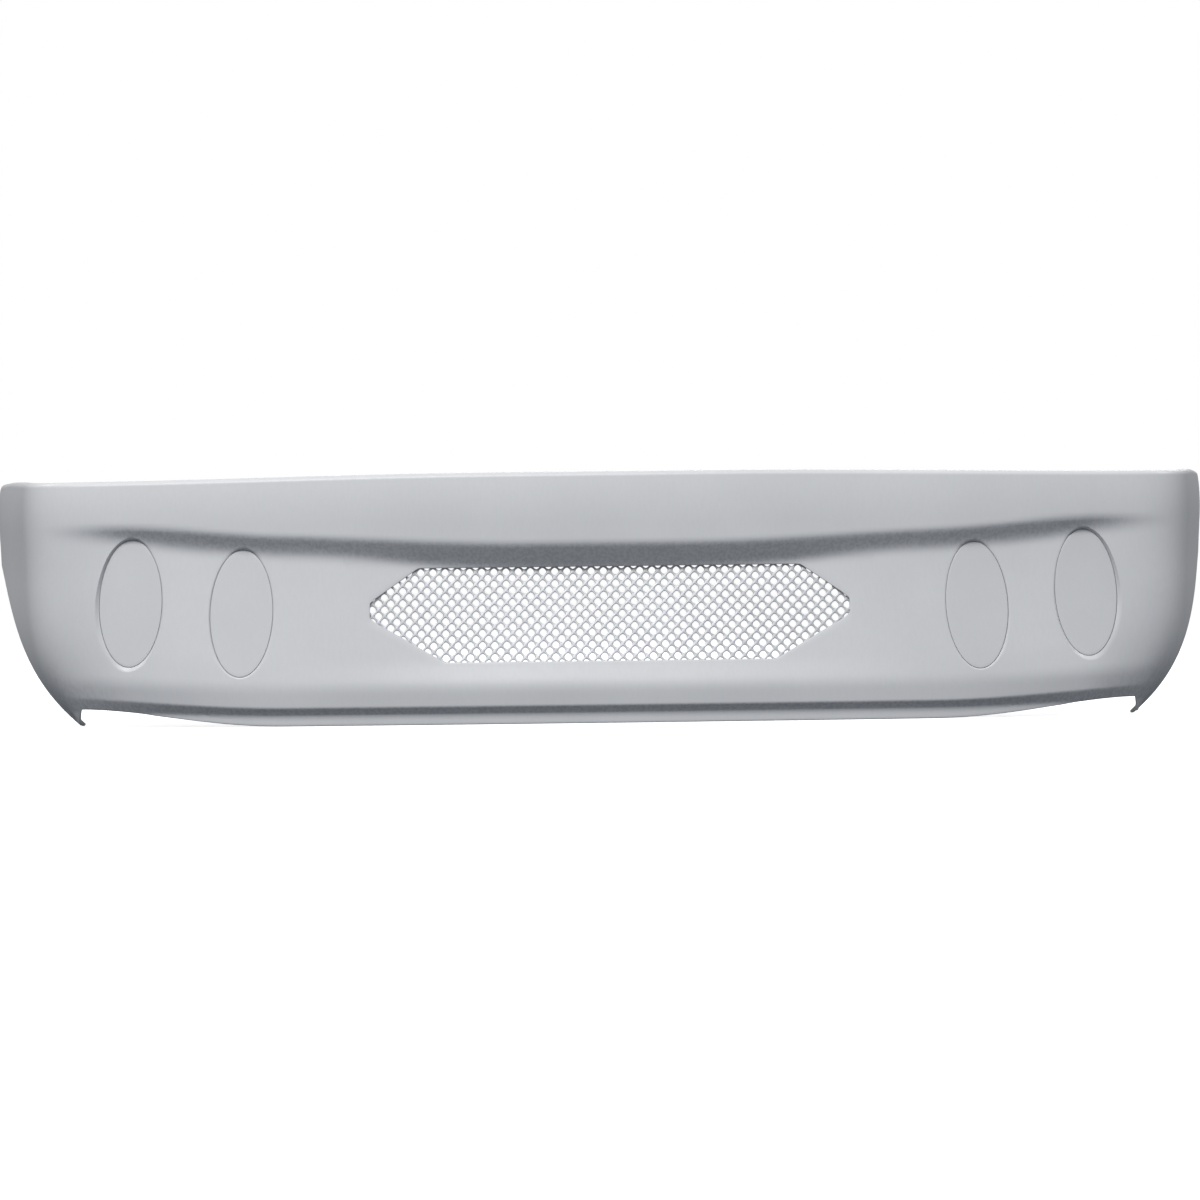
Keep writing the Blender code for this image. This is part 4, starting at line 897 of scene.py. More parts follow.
def edge_rolls(columns, rows, rim, outer, inner):
    """Rings that round the free edge of the sheet from the outer to the inner surface."""
    last_i, last_j = len(columns) - 1, rows.shape[1] - 1
    shift_s = np.array([(-1 if i == 0 else 1 if i == last_i else 0) for i, j in rim])
    shift_v = np.array([(-1 if j == 0 else 1 if j == last_j else 0) for i, j in rim])
    s = np.array([columns[i] for i, j in rim])
    v = np.array([rows[n] for n in rim])
    away = outer_point(s + shift_s * ROLL_PROBE, v + shift_v * ROLL_PROBE)
    away = away - outer_point(s, v)
    away = away / np.linalg.norm(away, axis=1, keepdims=True)
    a = np.array([outer[n] for n in rim])
    b = np.array([inner[n] for n in rim])
    rings = []
    for turn in np.radians(ROLL_TURNS):
        ring = 0.5 * (a + b) + 0.5 * (a - b) * math.sin(turn) + away * EDGE_ROLL * math.cos(turn)
        rings.append(ring)
    return rings


def skin_mesh():
    """Points, faces and material slots of the closed skin, and each lamp's rim angles."""
    columns = skin_columns()
    heights = face_rows()
    rows = np.array([skin_rows(s, heights) for s in columns])
    outer = outer_point(columns[:, None], rows)
    inner = inner_point(columns[:, None], rows)
    count_i, count_j = rows.shape
    blocks = skin_blocks(columns, heights)
    hidden = set()
    closed = set()
    for (i0, i1, j0, j1), _, _ in blocks:
        closed |= {(i, j) for i in range(i0, i1) for j in range(j0, j1)}
        hidden |= {(i, j) for i in range(i0 + 1, i1) for j in range(j0 + 1, j1)}
    points = []
    faces = []
    slots = []
    angles = {}

    def add(point):
        points.append(point)
        return len(points) - 1

    ids = [{}, {}]
    for layer, surface in enumerate((outer, inner)):
        for i in range(count_i):
            for j in range(count_j):
                if (i, j) not in hidden:
                    ids[layer][i, j] = add(surface[i, j])
        for i in range(count_i - 1):
            for j in range(count_j - 1):
                if (i, j) not in closed:
                    corners = ((i, j), (i + 1, j), (i + 1, j + 1), (i, j + 1))
                    faces.append([ids[layer][c] for c in corners])
                    slots.append(layer)

    def bridge(first, second, slot):
        for k in range(len(first)):
            n = (k + 1) % len(first)
            faces.append([first[k], first[n], second[n], second[k]])
            slots.append(slot)

    for block, kind, data in blocks:
        nodes = perimeter(*block)
        edge = [np.array([surface[n] for n in nodes]) for surface in (outer, inner)]
        if kind == "lamp":
            rings = lamp_rings(data, *edge)
            angles[data[0]] = rim_angles(data, edge[0])
        elif kind == "grille":
            rings = grille_rings(block, columns, nodes, *edge)
        else:
            s = np.array([columns[i] for i, j in nodes])
            rings = flange_rings(s, np.array([rows[n] for n in nodes]))
        last = []
        for layer in (0, 1):
            previous = [ids[layer][n] for n in nodes]
            for ring in rings[layer]:
                current = [add(p) for p in ring]
                bridge(previous, current, layer)
                previous = current
            last.append(previous)
        bridge(*last, 0)
    rim = perimeter(0, count_i - 1, 0, count_j - 1)
    previous = [ids[0][n] for n in rim]
    for ring in edge_rolls(columns, rows, rim, outer, inner):
        current = [add(p) for p in ring]
        bridge(previous, current, 0)
        previous = current
    bridge(previous, [ids[1][n] for n in rim], 0)
    return points, faces, slots, angles


def build_skin(front, back):
    """The moulded skin, gel coat outside and laminate inside."""
    points, faces, slots, angles = skin_mesh()
    skin = link_mesh("bumper_skin_fine", points, faces, (front, back), slots)
    register(skin, "skin_gelcoat", "bumper_skin")
    return angles


# ---------------------------------------------------------------- flat pieces
def divided(outline, longest):
    """Closed outline with its long sides split."""
    points = []
    for k in range(len(outline)):
        here, after = np.array(outline[k]), np.array(outline[(k + 1) % len(outline)])
        parts = max(1, math.ceil(float(np.linalg.norm(after - here)) / longest))
        points += [tuple(here + (after - here) * n / parts) for n in range(parts)]
    return points


def circle(cx, cz, radius, steps=DRILL_STEPS):
    """Points of a circle."""
    angles = [2 * math.pi * k / steps for k in range(steps)]
    return [(cx + radius * math.cos(a), cz + radius * math.sin(a)) for a in angles]


def plate(name, loops, place, levels, material, extra=()):
    """A plate with rounded edges from an outline with holes; place puts a level into space."""
    plan = [p for loop in loops for p in loop]
    shapes = []
    start = 0
    for loop in loops:
        shapes.append(list(range(start, start + len(loop))))
        start += len(loop)
    flat = [Vector(p) for p in plan] + [Vector(p) for p in extra]
    result = delaunay_2d_cdt(flat, [], shapes, 1, PLATE_MERGE)
    plan = np.array([tuple(v) for v in result[0]])
    count = len(plan)
    points = [p for level in levels for p in place(*plan.T, level)]
    triangles = [f for f, owners in zip(result[2], result[5]) if list(owners) == [0]]
    faces = [tuple(f) for f in triangles]
    faces += [tuple(k + count for k in f) for f in triangles]
    edges = {}
    for f in triangles:
        for k in range(3):
            a, b = f[k], f[(k + 1) % 3]
            edges[min(a, b), max(a, b)] = edges.get((min(a, b), max(a, b)), 0) + 1
    faces += [(a, b, b + count, a + count) for (a, b), n in edges.items() if n == 1]
    used = sorted({k for f in faces for k in f})
    number = {k: n for n, k in enumerate(used)}
    faces = [tuple(number[k] for k in f) for f in faces]
    obj = link_mesh(name, [points[k] for k in used], faces, (material,))
    round_edges(obj)
    return obj


def sheet_normal():
    """Unit normal of the grille sheet, pointing to the rear."""
    x = np.linspace(-GRILLE_TIP_X, GRILLE_TIP_X, SHEET_PROBES)
    low = back_y(x, np.full_like(x, SHEET_LOW_Z))
    high = back_y(x, np.full_like(x, SHEET_HIGH_Z))
    rise = float(np.mean(high - low)) / (SHEET_HIGH_Z - SHEET_LOW_Z)
    length = math.sqrt(1.0 + rise * rise)
    return np.array((0.0, 1.0 / length, -rise / length))


def sheet_point(x, z, offset, lift):
    """Points of the grille sheet; offset runs along its normal."""
    low = back_y(x, np.full_like(x, SHEET_LOW_Z))
    high = back_y(x, np.full_like(x, SHEET_HIGH_Z))
    slope = (high - low) / (SHEET_HIGH_Z - SHEET_LOW_Z)
    y = low + slope * (z - SHEET_LOW_Z) + SHEET_STAND
    return np.stack((x, y, z), -1) + lift * offset


def edge_seat(first, second, share):
    """Point on a straight side of the grille outline, outward direction and direction along."""
    start, end = np.array(first), np.array(second)
    along = (end - start) / np.linalg.norm(end - start)
    return start + (end - start) * share, np.array((along[1], -along[0])), along


def frame_seats():
    """Name and front-view position of the grille studs."""
    corners = grille_corners()
    seats = []
    for name, a, b in SEAT_SIDES:
        middle, outside, _ = edge_seat(corners[a], corners[b], 0.5)
        x, z = middle + outside * FRAME_STUD_OUT
        seats.append((name, float(x), float(z)))
    return seats


def cell_mesh():
    """One diamond cell of the mesh, centred on its hole: points (x, z, thickness) and quads."""
    steps = 4 * CELL_SIDE_STEPS
    half = 0.5 * CELL_PITCH
    corners = [(half, 0.0), (0.0, half), (-half, 0.0), (0.0, -half)]
    outer, inner = [], []
    for k in range(steps):
        side, part = divmod(k, CELL_SIDE_STEPS)
        start, end = np.array(corners[side]), np.array(corners[(side + 1) % 4])
        place = start + (end - start) * part / CELL_SIDE_STEPS
        length = (abs(place[0]) ** CELL_POWER + abs(place[1]) ** CELL_POWER) ** (1 / CELL_POWER)
        outer.append(place)
        inner.append(place * CELL_HOLE / length)
    points = []
    rings = list(CELL_RINGS) + [(share, -rise) for share, rise in reversed(CELL_RINGS[:-1])]
    for share, rise in rings:
        for a, b in zip(outer, inner):
            points.append((*(a + (b - a) * share), 0.5 * MESH_T * rise))
    faces = []
    for ring in range(len(rings) - 1):
        for k in range(steps):
            n = (k + 1) % steps
            low = ring * steps
            faces.append((low + k, low + n, low + steps + n, low + steps + k))
    return np.array(points), faces


def grille_sheet(lift):
    """Points and faces of the whole mesh at its full pitch, cut to the outline."""
    cell, quads = cell_mesh()
    trim = grille_corners(CELL_TRIM)
    middle = 0.5 * (GRILLE_TOP_Z + GRILLE_FOOT_Z)
    reach_x = int(GRILLE_TIP_X / CELL_PITCH) + 3
    reach_z = int(0.5 * (GRILLE_TOP_Z - GRILLE_FOOT_Z) / CELL_PITCH) + 3
    along = np.roll(trim, -1, axis=0) - trim
    away = np.stack((along[:, 1], -along[:, 0]), -1)
    away = away / np.linalg.norm(away, axis=1, keepdims=True)
    points, faces = [], []
    for shift in (0.0, 0.5):
        for i in range(-reach_x, reach_x + 1):
            for j in range(-reach_z, reach_z + 1):
                place = np.array(((i + shift) * CELL_PITCH, middle + (j + shift) * CELL_PITCH))
                if np.max(np.sum((place - trim) * away, axis=1)) > 0.5 * CELL_PITCH:
                    continue
                start = len(points)
                points += [(x + place[0], t, z + place[1]) for x, z, t in cell]
                faces += [tuple(start + k for k in f) for f in quads]
    mesh = bpy.data.meshes.new("flat_mesh")
    mesh.from_pydata(points, [], faces)
    bm = bmesh.new()
    bm.from_mesh(mesh)
    bpy.data.meshes.remove(mesh)
    bmesh.ops.remove_doubles(bm, verts=bm.verts, dist=CELL_MERGE)
    for corner, outside in zip(trim, away):
        everything = [*bm.verts, *bm.edges, *bm.faces]
        spot = (corner[0], 0.0, corner[1])
        turn = (outside[0], 0.0, outside[1])
        bmesh.ops.bisect_plane(
            bm, geom=everything, dist=CUT_MERGE, plane_co=spot, plane_no=turn, clear_outer=True
        )
        bmesh.ops.holes_fill(bm, edges=[e for e in bm.edges if e.is_boundary], sides=0)
    bm.verts.index_update()
    flat = np.array([v.co[:] for v in bm.verts])
    faces = [tuple(v.index for v in f.verts) for f in bm.faces]
    bm.free()
    points = sheet_point(flat[:, 0], flat[:, 2], 0.5 * MESH_T, lift) + flat[:, 1:2] * lift
    return points, faces


def frame_ears():
    """Outer edge of the retaining frame with an ear at each stud, rounded."""
    corners = grille_corners(FRAME_OUT)
    eared = {(a, b) for _, a, b in SEAT_SIDES}
    points = []
    for a in range(len(corners)):
        b = (a + 1) % len(corners)
        points.append(tuple(corners[a]))
        if (a, b) in eared:
            middle, outside, along = edge_seat(corners[a], corners[b], 0.5)
            for shift, rise in EAR_SHAPE:
                place = middle + along * FRAME_EAR_HALF * shift
                points.append(tuple(place + outside * FRAME_EAR * rise))
    outline, _ = rounded_outline(points, EAR_ROUND, EAR_STEPS)
    return divided(outline, FRAME_STEP)


def build_grille(metal, steel):
    """Mesh at full pitch, retaining frame, bonded studs and nuts."""
    lift = sheet_normal()
    points, faces = grille_sheet(lift)
    mesh = link_mesh("grille_mesh_fine", points, faces, (metal,), sharp=MESH_SHARP)
    register(mesh, "mesh_aluminium", "grille_mesh")
    seats = frame_seats()
    inner, _ = rounded_outline(grille_corners(FRAME_IN), GRILLE_CORNER_R, FRAME_CORNER_STEPS)
    loops = [frame_ears(), divided(inner, FRAME_STEP)]
    loops += [circle(x, z, SMALL_STUD[0] + HOLE_CLEAR) for _, x, z in seats]
    start = MESH_T + 2 * GAP
    levels = (start, start + FRAME_T)
    holder = plate("grille_frame_fine", loops, lambda *p: sheet_point(*p, lift), levels, steel)
    register(holder, "zinc_steel", "grille_retaining_frame")
    for name, x, z in seats:
        x, z = np.array(x), np.array(z)
        seat = sheet_point(x, z, start + FRAME_T + GAP, lift)
        base = clear_of_skin(sheet_point(x, z, -SHEET_STAND, lift), lift, STUD_BASE_R)
        add_stud("grille_stud_" + name, base, lift, SMALL_STUD, steel)
        add_nut("grille_nut_" + name, seat, lift, SMALL_STUD, steel)


# ---------------------------------------------------------------- round pieces
def axis_frame(axis):
    """Two unit directions square to an axis, and the axis."""
    axis = np.asarray(axis, float) / np.linalg.norm(axis)
    helper = np.array((1.0, 0.0, 0.0) if abs(axis[0]) < AXIS_LIMIT else (0.0, 0.0, 1.0))
    second = np.cross(axis, helper)
    second = second / np.linalg.norm(second)
    return np.cross(second, axis), second, axis


def turned_about(angle, u, w):
    """Unit directions at these angles in the plane of two square directions."""
    return np.outer(np.cos(angle), u) + np.outer(np.sin(angle), w)


def clear_of_skin(base, axis, radius):
    """Base point moved along its axis until a disc on it clears the skin by the gap."""
    u, w, _ = axis_frame(axis)
    ring = np.vstack((base + radius * turned_about(full_turn(STUD_STEPS), u, w), base))
    behind = back_y(ring[:, 0], ring[:, 2]) - ring[:, 1]
    return base + axis * (float(behind.max()) + GAP) / axis[1]


def stack_rings(name, rings, material, sharp):
    """A closed body from rings with the same number of points, capped at both ends."""
    points = [p for ring in rings for p in ring]
    count = len(rings[0])
    faces = [tuple(range(count)), tuple(range(len(points) - count, len(points)))]
    for k in range(len(rings) - 1):
        for n in range(count):
            m = (n + 1) % count
            low = k * count
            faces.append((low + n, low + m, low + count + m, low + count + n))
    return link_mesh(name, points, faces, (material,), sharp=sharp)


def thread_wave(level, pitch, angle):
    """Depth of a thread, 0 to 1, at a level and round the axis."""
    return 0.5 - 0.5 * np.cos(2 * math.pi * level / pitch - angle)


def thread_rings(centre, turned, angle, axis, radius, start, end):
    """Rings of a screw thread along an axis, run in at the foot and tapered at the tip."""
    pitch = THREAD_PITCH * radius
    count = max(4, round((end - start) / pitch * THREAD_RINGS))
    rings = []
    for k in range(count + 1):
        level = start + (end - start) * k / count
        wave = thread_wave(level, pitch, angle)
        entry = min(1.0, (level - start) / pitch)
        taper = max(0.0, level - (end - THREAD_TAPER * radius))
        reach = np.minimum(radius * (1.0 - THREAD_DEPTH * wave * entry), radius - taper)
        rings.append(list(centre + turned * reach[:, None] + axis * level))
    return rings


def add_stud(name, base, axis, size, material):
    """Bonding disc with rounded edges and a threaded shank."""
    u, w, n = axis_frame(axis)
    radius, length = size[0], size[1]
    angle = full_turn(STUD_STEPS)
    turned = turned_about(angle, u, w)
    edge = STUD_EDGE * STUD_BASE_T
    profile = [(STUD_CENTRE * STUD_BASE_R, 0.0), (STUD_BASE_R - edge, 0.0)]
    profile += [(STUD_BASE_R, edge), (STUD_BASE_R, STUD_BASE_T - edge)]
    profile.append((STUD_BASE_R - edge, STUD_BASE_T))
    profile += [(share * radius, STUD_BASE_T + height) for share, height in STUD_FILLET]
    rings = [list(base + turned * r + n * h) for r, h in profile]
    start = STUD_BASE_T + STUD_THREAD_START
    rings += thread_rings(base, turned, angle, n, radius, start, length)
    stud = stack_rings(name + "_fine", rings, material, STUD_SHARP)
    register(stud, "zinc_steel", name)


def add_nut(name, base, axis, size, material):
    """Chamfered hexagon nut with a threaded hole, standing on its base point."""
    u, w, n = axis_frame(axis)
    radius, _, half_flat, height = size
    angle = full_turn(NUT_STEPS)
    turned = turned_about(angle, u, w)
    hexagon = half_flat / np.cos((angle % (math.pi / 3)) - math.pi / 6)
    rings = []
    rise = spread(0.0, NUT_CHAMFER * half_flat, NUT_CHAMFER_RINGS)
    for level in rise + [height - h for h in reversed(rise)]:
        depth = min(level, height - level)
        reach = np.minimum(hexagon, NUT_FACE * half_flat + NUT_SLOPE * depth)
        rings.append(list(base + turned * reach[:, None] + n * level))
    bore = radius + NUT_BORE_GAP
    pitch = THREAD_PITCH * radius
    count = round(height / pitch * THREAD_RINGS)
    for k in range(count + 1):
        level = height * (1.0 - k / count)
        wave = thread_wave(level, pitch, angle)
        mouth = max(0.0, NUT_MOUTH - min(level, height - level))
        reach = bore + np.maximum(THREAD_DEPTH * radius * wave, mouth)
        rings.append(list(base + turned * reach[:, None] + n * level))
    points = [p for ring in rings for p in ring]
    faces = []
    for k in range(len(rings)):
        after = (k + 1) % len(rings)
        low, high = k * NUT_STEPS, after * NUT_STEPS
        for i in range(NUT_STEPS):
            j = (i + 1) % NUT_STEPS
            faces.append((low + i, low + j, high + j, high + i))
    nut = link_mesh(name + "_fine", points, faces, (material,), sharp=NUT_SHARP)
    register(nut, "zinc_steel", name)


def add_fixing(kind, words, base, axis, heights, size, material):
    """A bonded stud and its nut, at their heights above a base point."""
    stand, seat = heights
    add_stud("%s_stud_%s" % (kind, words), base + axis * stand, axis, size, material)
    add_nut("%s_nut_%s" % (kind, words), base + axis * seat, axis, size, material)


# ---------------------------------------------------------------- lamp covers
def lamp_frame(lamp, plane):
    """Centre of a cover's face with its in-plane and rearward directions."""
    _, slope_x, slope_z = plane
    u = np.array((1.0, slope_x, 0.0))
    n = np.array((-slope_x, 1.0, -slope_z))
    u = u / np.linalg.norm(u)
    n = n / np.linalg.norm(n)
    return np.array((lamp[2], plane[0], lamp[3])), (u, np.cross(n, u), n)


def build_lamp(lamp, angle, paint, steel):
    """Blanking cover with its stud, the strap behind it and the nut."""
    plane = lamp_plane(lamp)
    centre, (u, w, n) = lamp_frame(lamp, plane)

    def rim(grow, behind):
        x, z = ellipse_at(lamp, angle, grow)
        return np.stack((x, plane_y(plane, lamp, x, z) + behind, z), -1)

    radius, length, _, _ = COVER_STUD
    edge = rim(-COVER_GAP - COVER_ROUND, 0.0)
    rings = []
    for share in COVER_SHARES:
        rings.append(mix(centre, edge, share) - n * COVER_CROWN * (1.0 - share * share))
    for turn in np.radians(COVER_TURNS):
        shrink = COVER_ROUND * (1.0 - math.cos(turn))
        rings.append(rim(-COVER_GAP - shrink, COVER_ROUND * (1.0 - math.sin(turn))))
    rings.append(rim(-COVER_GAP, COVER_T - COVER_CHAMFER))
    rings.append(rim(-COVER_GAP - COVER_CHAMFER, COVER_T))
    turned = turned_about(angle, u, w)
    back = COVER_T * n[1] + COVER_BOSS
    rear, foot = rings[-1], centre + turned * BOSS_RINGS[0][0] + n * back
    for share in BACK_SHARES:
        rings.append(mix(rear, foot, share) - n * COVER_BOSS * share * (1.0 - share))
    rings += [centre + turned * r + n * (back + h) for r, h in BOSS_RINGS]
    start = back + BOSS_RINGS[-1][1]
    rings.append(centre + turned * radius + n * (start + SHANK_FOOT))
    start += SHANK_THREAD_START
    rings += thread_rings(centre, turned, angle, n, radius, start, length)
    cover = stack_rings("lamp_cover_%s_fine" % lamp[0], rings, paint, COVER_SHARP)
    register(cover, "cover_gelcoat", "lamp_cover_" + lamp[0])

    seat = (COVER_T + SKIN_T + 2 * GAP) * n[1] + GAP
    half = 0.5 * STRAP_WIDTH
    corners = [(-STRAP_HALF, -half), (STRAP_HALF, -half), (STRAP_HALF, half), (-STRAP_HALF, half)]
    outline, _ = rounded_outline(corners, STRAP_ROUND, STRAP_STEPS)
    strap = plate(
        "lamp_strap_%s_fine" % lamp[0],
        [[tuple(p) for p in outline], circle(0.0, 0.0, radius + HOLE_CLEAR)],
        lambda a, b, level: centre + np.outer(a, u) + np.outer(b, w) + n * level,
        (seat, seat + STRAP_T),
        steel,
    )
    register(strap, "zinc_steel", "lamp_strap_" + lamp[0])
    add_nut("lamp_nut_" + lamp[0], centre + n * (seat + STRAP_T + GAP), n, COVER_STUD, steel)


# ---------------------------------------------------------------- upper rail
def rail_hole_arcs():
    """Arc lengths of the mounting holes in the top flange."""
    low, high = lamp_span(LAMP_INNER[0])
    outer = 0.5 * (low + high)
    return (-outer, -FLANGE_HOLE_MID, 0.0, FLANGE_HOLE_MID, outer)


def flange_point(s, w, drop):
    """Point under the top flange, w in from its fold and drop below its top face."""
    s = np.array(s)
    point = outer_point(s, top_z(s) - FOLD_R + FOLD_R * math.pi / 2 + w)
    return point - np.array((0.0, 0.0, drop))


def build_rail(aluminium, steel):
    """Stiffening rail under the top flange and its captive nuts."""
    arcs = [RAIL_HALF * (2.0 * k / RAIL_STATIONS - 1.0) for k in range(RAIL_STATIONS + 1)]
    outline = [(s, RAIL_IN) for s in arcs] + [(s, RAIL_OUT) for s in reversed(arcs)]
    holes = rail_hole_arcs()
    loops = [outline] + [circle(s, RAIL_HOLE_W, FLANGE_HOLE_R) for s in holes]
    top = SKIN_T + GAP
    rail = plate("upper_rail_fine", loops, flange_point, (top, top + RAIL_T), aluminium)
    register(rail, "rail_aluminium", "upper_mounting_rail")
    down = np.array((0.0, 0.0, -1.0))
    for name, s in zip(RAIL_NAMES, holes):
        base = flange_point(s, RAIL_HOLE_W, top + RAIL_T + 2 * GAP)
        add_nut("rail_nut_" + name, base, down, RAIL_NUT, steel)


# ---------------------------------------------------------------- brackets
def skin_frame(s, z):
    """Inner surface point with its directions along, up and inwards."""
    s = np.array(s)
    z = np.array(z)
    h = SLOPE_STEP
    along = inner_point(s + h, z) - inner_point(s - h, z)
    inward = -outward(s, z)
    along = along / np.linalg.norm(along)
    up = np.cross(inward, along)
    if up[2] < 0.0:
        up = -up
    return inner_point(s, z), along, up / np.linalg.norm(up), inward


def lift_off(s, z, half_s, half_z, axis):
    """How far a flat piece must stand off along an axis to clear the inner surface."""
    origin = inner_point(np.array(s), np.array(z))
    highest = 0.0
    for ds in spread(-half_s, half_s, PROBE_STEPS):
        for dz in spread(-half_z, half_z, PROBE_STEPS):
            place = inner_point(np.array(s + ds), np.array(z + dz))
            highest = max(highest, float((place - origin) @ axis))
    return highest + GAP


class Strip:
    """A bent metal strip: corner polylines of both faces, and lengths along it."""

    def __init__(self, outer_at, inner_at, thickness, bend):
        self.faces = ((outer_at, bend), (inner_at, bend - thickness))
        corners = [np.array(p) for p in outer_at(0.0)]
        self.stops = [0.0]
        for k in range(len(corners) - 1):
            reach = [self.tangent(corners, m, bend) for m in (k, k + 1)]
            length = float(np.linalg.norm(corners[k + 1] - corners[k])) - sum(reach)
            self.stops.append(self.stops[-1] + length)
            if k + 2 < len(corners):
                turn = self.turn(corners, k + 1)
                self.stops.append(self.stops[-1] + turn * (bend - 0.5 * thickness))

    @staticmethod
    def turn(corners, k):
        """Angle turned at a corner."""
        before = corners[k] - corners[k - 1]
        after = corners[k + 1] - corners[k]
        cosine = before @ after / (np.linalg.norm(before) * np.linalg.norm(after))
        return math.acos(float(np.clip(cosine, -1.0, 1.0)))

    def tangent(self, corners, k, radius):
        """Distance from a corner to the start of its bend."""
        if k == 0 or k == len(corners) - 1:
            return 0.0
        return radius * math.tan(0.5 * self.turn(corners, k))

    def bend_ends(self, corners, k, radius):
        """Start and end of the bend at a corner."""
        reach = self.tangent(corners, k, radius)
        if reach == 0.0:
            return corners[k], corners[k]
        before = corners[k - 1] - corners[k]
        after = corners[k + 1] - corners[k]
        start = corners[k] + before * reach / np.linalg.norm(before)
        return start, corners[k] + after * reach / np.linalg.norm(after)

    def point(self, face, length, level):
        """Point on one face at a length along the strip and a level across it."""
        place, radius = self.faces[face]
        corners = [np.array(p) for p in place(level)]
        part = int(np.clip(np.searchsorted(self.stops, length) - 1, 0, len(self.stops) - 2))
        share = (length - self.stops[part]) / (self.stops[part + 1] - self.stops[part])
        k = (part + 1) // 2
        if part % 2 == 0:
            start = self.bend_ends(corners, k, radius)[1]
            end = self.bend_ends(corners, k + 1, radius)[0]
            return start + (end - start) * share
        start, end = self.bend_ends(corners, k, radius)
        turn = self.turn(corners, k)
        middle = 0.5 * (start + end) - corners[k]
        centre = corners[k] + middle / np.linalg.norm(middle) * radius / math.cos(0.5 * turn)
        a, b = start - centre, end - centre
        first = math.sin((1.0 - share) * turn) / math.sin(turn)
        second = math.sin(share * turn) / math.sin(turn)
        return centre + a * first + b * second

    def build(self, name, half, holes, material):
        """The strip as a plate with rounded corners and round holes."""
        total = self.stops[-1]
        corners = [(0.0, -half), (total, -half), (total, half), (0.0, half)]
        outline, _ = rounded_outline(corners, CORNER_CUT, CORNER_STEPS)
        bends = []
        for k in range(1, len(self.stops) - 2, 2):
            bends += spread(self.stops[k], self.stops[k + 1], BEND_STEPS)
        points = [tuple(p) for p in outline]
        edge = [(p, -half) for p in bends] + [(p, half) for p in reversed(bends)]
        ordered = sorted(
            points + edge, key=lambda p: math.atan2(p[1] / half, (p[0] - 0.5 * total) / total)
        )
        levels = range(1 - BEND_LEVELS, BEND_LEVELS)
        extra = [(p, half * level / BEND_LEVELS) for p in bends for level in levels]
        loops = [ordered] + [circle(p, level, radius) for p, level, radius in holes]

        def place(a, b, face):
            return [self.point(face, p, v) for p, v in zip(a, b)]

        return plate(name, loops, place, (0, 1), material, extra)


def build_beam_bracket(side, word, paint, steel):
    """Channel from the skin's inner face back to the crash beam, with studs and nuts."""
    s = float(arc_at(np.array(side * BEAM_X), BEAM_Z))
    origin, along, up, inward = skin_frame(s, BEAM_Z)
    along = along * side if along[0] > 0.0 else -along * side
    stand = lift_off(s, BEAM_Z, BEAM_HALF_W, BEAM_HALF_H, inward)
    foot = stand + STUD_BASE_T + GAP
    rear_x = float((origin + inward * foot)[0]) - side * BEAM_HALF_W
    wide = 2 * BEAM_HALF_W

    def section(inset):
        front = ((BEAM_HALF_W, foot + inset), (-BEAM_HALF_W + inset, foot + inset))
        rear = ((rear_x + side * inset, BEAM_REAR_Y - inset), (rear_x + side * wide,))

        def corners(level):
            middle = origin + up * level
            start = [middle + along * a + inward * b for a, b in front]
            back = [np.array((x, BEAM_REAR_Y - inset, BEAM_Z + level)) for x, *_ in rear]
            return start + back

        return corners

    strip = Strip(section(0.0), section(BEAM_T), BEAM_T, BEAM_BEND)
    total = strip.stops[-1]
    hole = LARGE_STUD[0] + HOLE_CLEAR
    bolt = total - BEAM_HALF_W + 0.5 * BEAM_T
    holes = [(BEAM_HALF_W, level, hole) for level in (-BEAM_STUD_Z, BEAM_STUD_Z)]
    holes += [(bolt, level, BEAM_BOLT_R) for level in (-BEAM_BOLT_Z, BEAM_BOLT_Z)]
    bracket = strip.build("beam_bracket_%s_fine" % word, BEAM_HALF_H, holes, paint)
    register(bracket, "bracket_paint", "beam_bracket_" + word)
    for name, step in (("lower", -BEAM_STUD_Z), ("upper", BEAM_STUD_Z)):
        base = origin + up * step
        seat = foot + BEAM_T + GAP
        add_fixing("beam", name + "_" + word, base, inward, (stand, seat), LARGE_STUD, steel)


def build_side_bracket(side, word, paint, steel):
    """Angle on the inside of the side return, with studs and nuts."""
    s = side * SIDE_S
    origin, along, _, inward = skin_frame(s, SIDE_Z)
    up = np.array((0.0, 0.0, 1.0))
    flat_in = np.array((inward[0], inward[1], 0.0))
    flat_in = flat_in / np.linalg.norm(flat_in)
    stand = lift_off(s, SIDE_Z, SIDE_HALF_W, SIDE_HALF_H, flat_in)
    foot = stand + STUD_BASE_T + GAP

    def section(inset):
        places = (
            (foot + inset, -SIDE_HALF_H),
            (foot + inset, SIDE_HALF_H - inset),
            (foot + SIDE_TAB, SIDE_HALF_H - inset),
        )
        return lambda level: [origin + along * level + flat_in * n + up * z for n, z in places]

    strip = Strip(section(0.0), section(SIDE_T), SIDE_T, SIDE_BEND)
    hole = SMALL_STUD[0] + HOLE_CLEAR
    low = (1.0 - SIDE_STUD_LOW) * SIDE_HALF_H
    holes = [(low, level, hole) for level in (-SIDE_STUD_S, SIDE_STUD_S)]
    holes.append((strip.stops[-1] - SIDE_BOLT_IN * SIDE_TAB, 0.0, SIDE_BOLT_R))
    bracket = strip.build("side_bracket_%s_fine" % word, SIDE_HALF_W, holes, paint)
    register(bracket, "bracket_paint", "side_bracket_" + word)
    for name, step in (("front", -SIDE_STUD_S), ("rear", SIDE_STUD_S)):
        base = origin + along * step * side - up * SIDE_STUD_LOW * SIDE_HALF_H
        seat = foot + SIDE_T + GAP
        add_fixing("side", name + "_" + word, base, flat_in, (stand, seat), SMALL_STUD, steel)


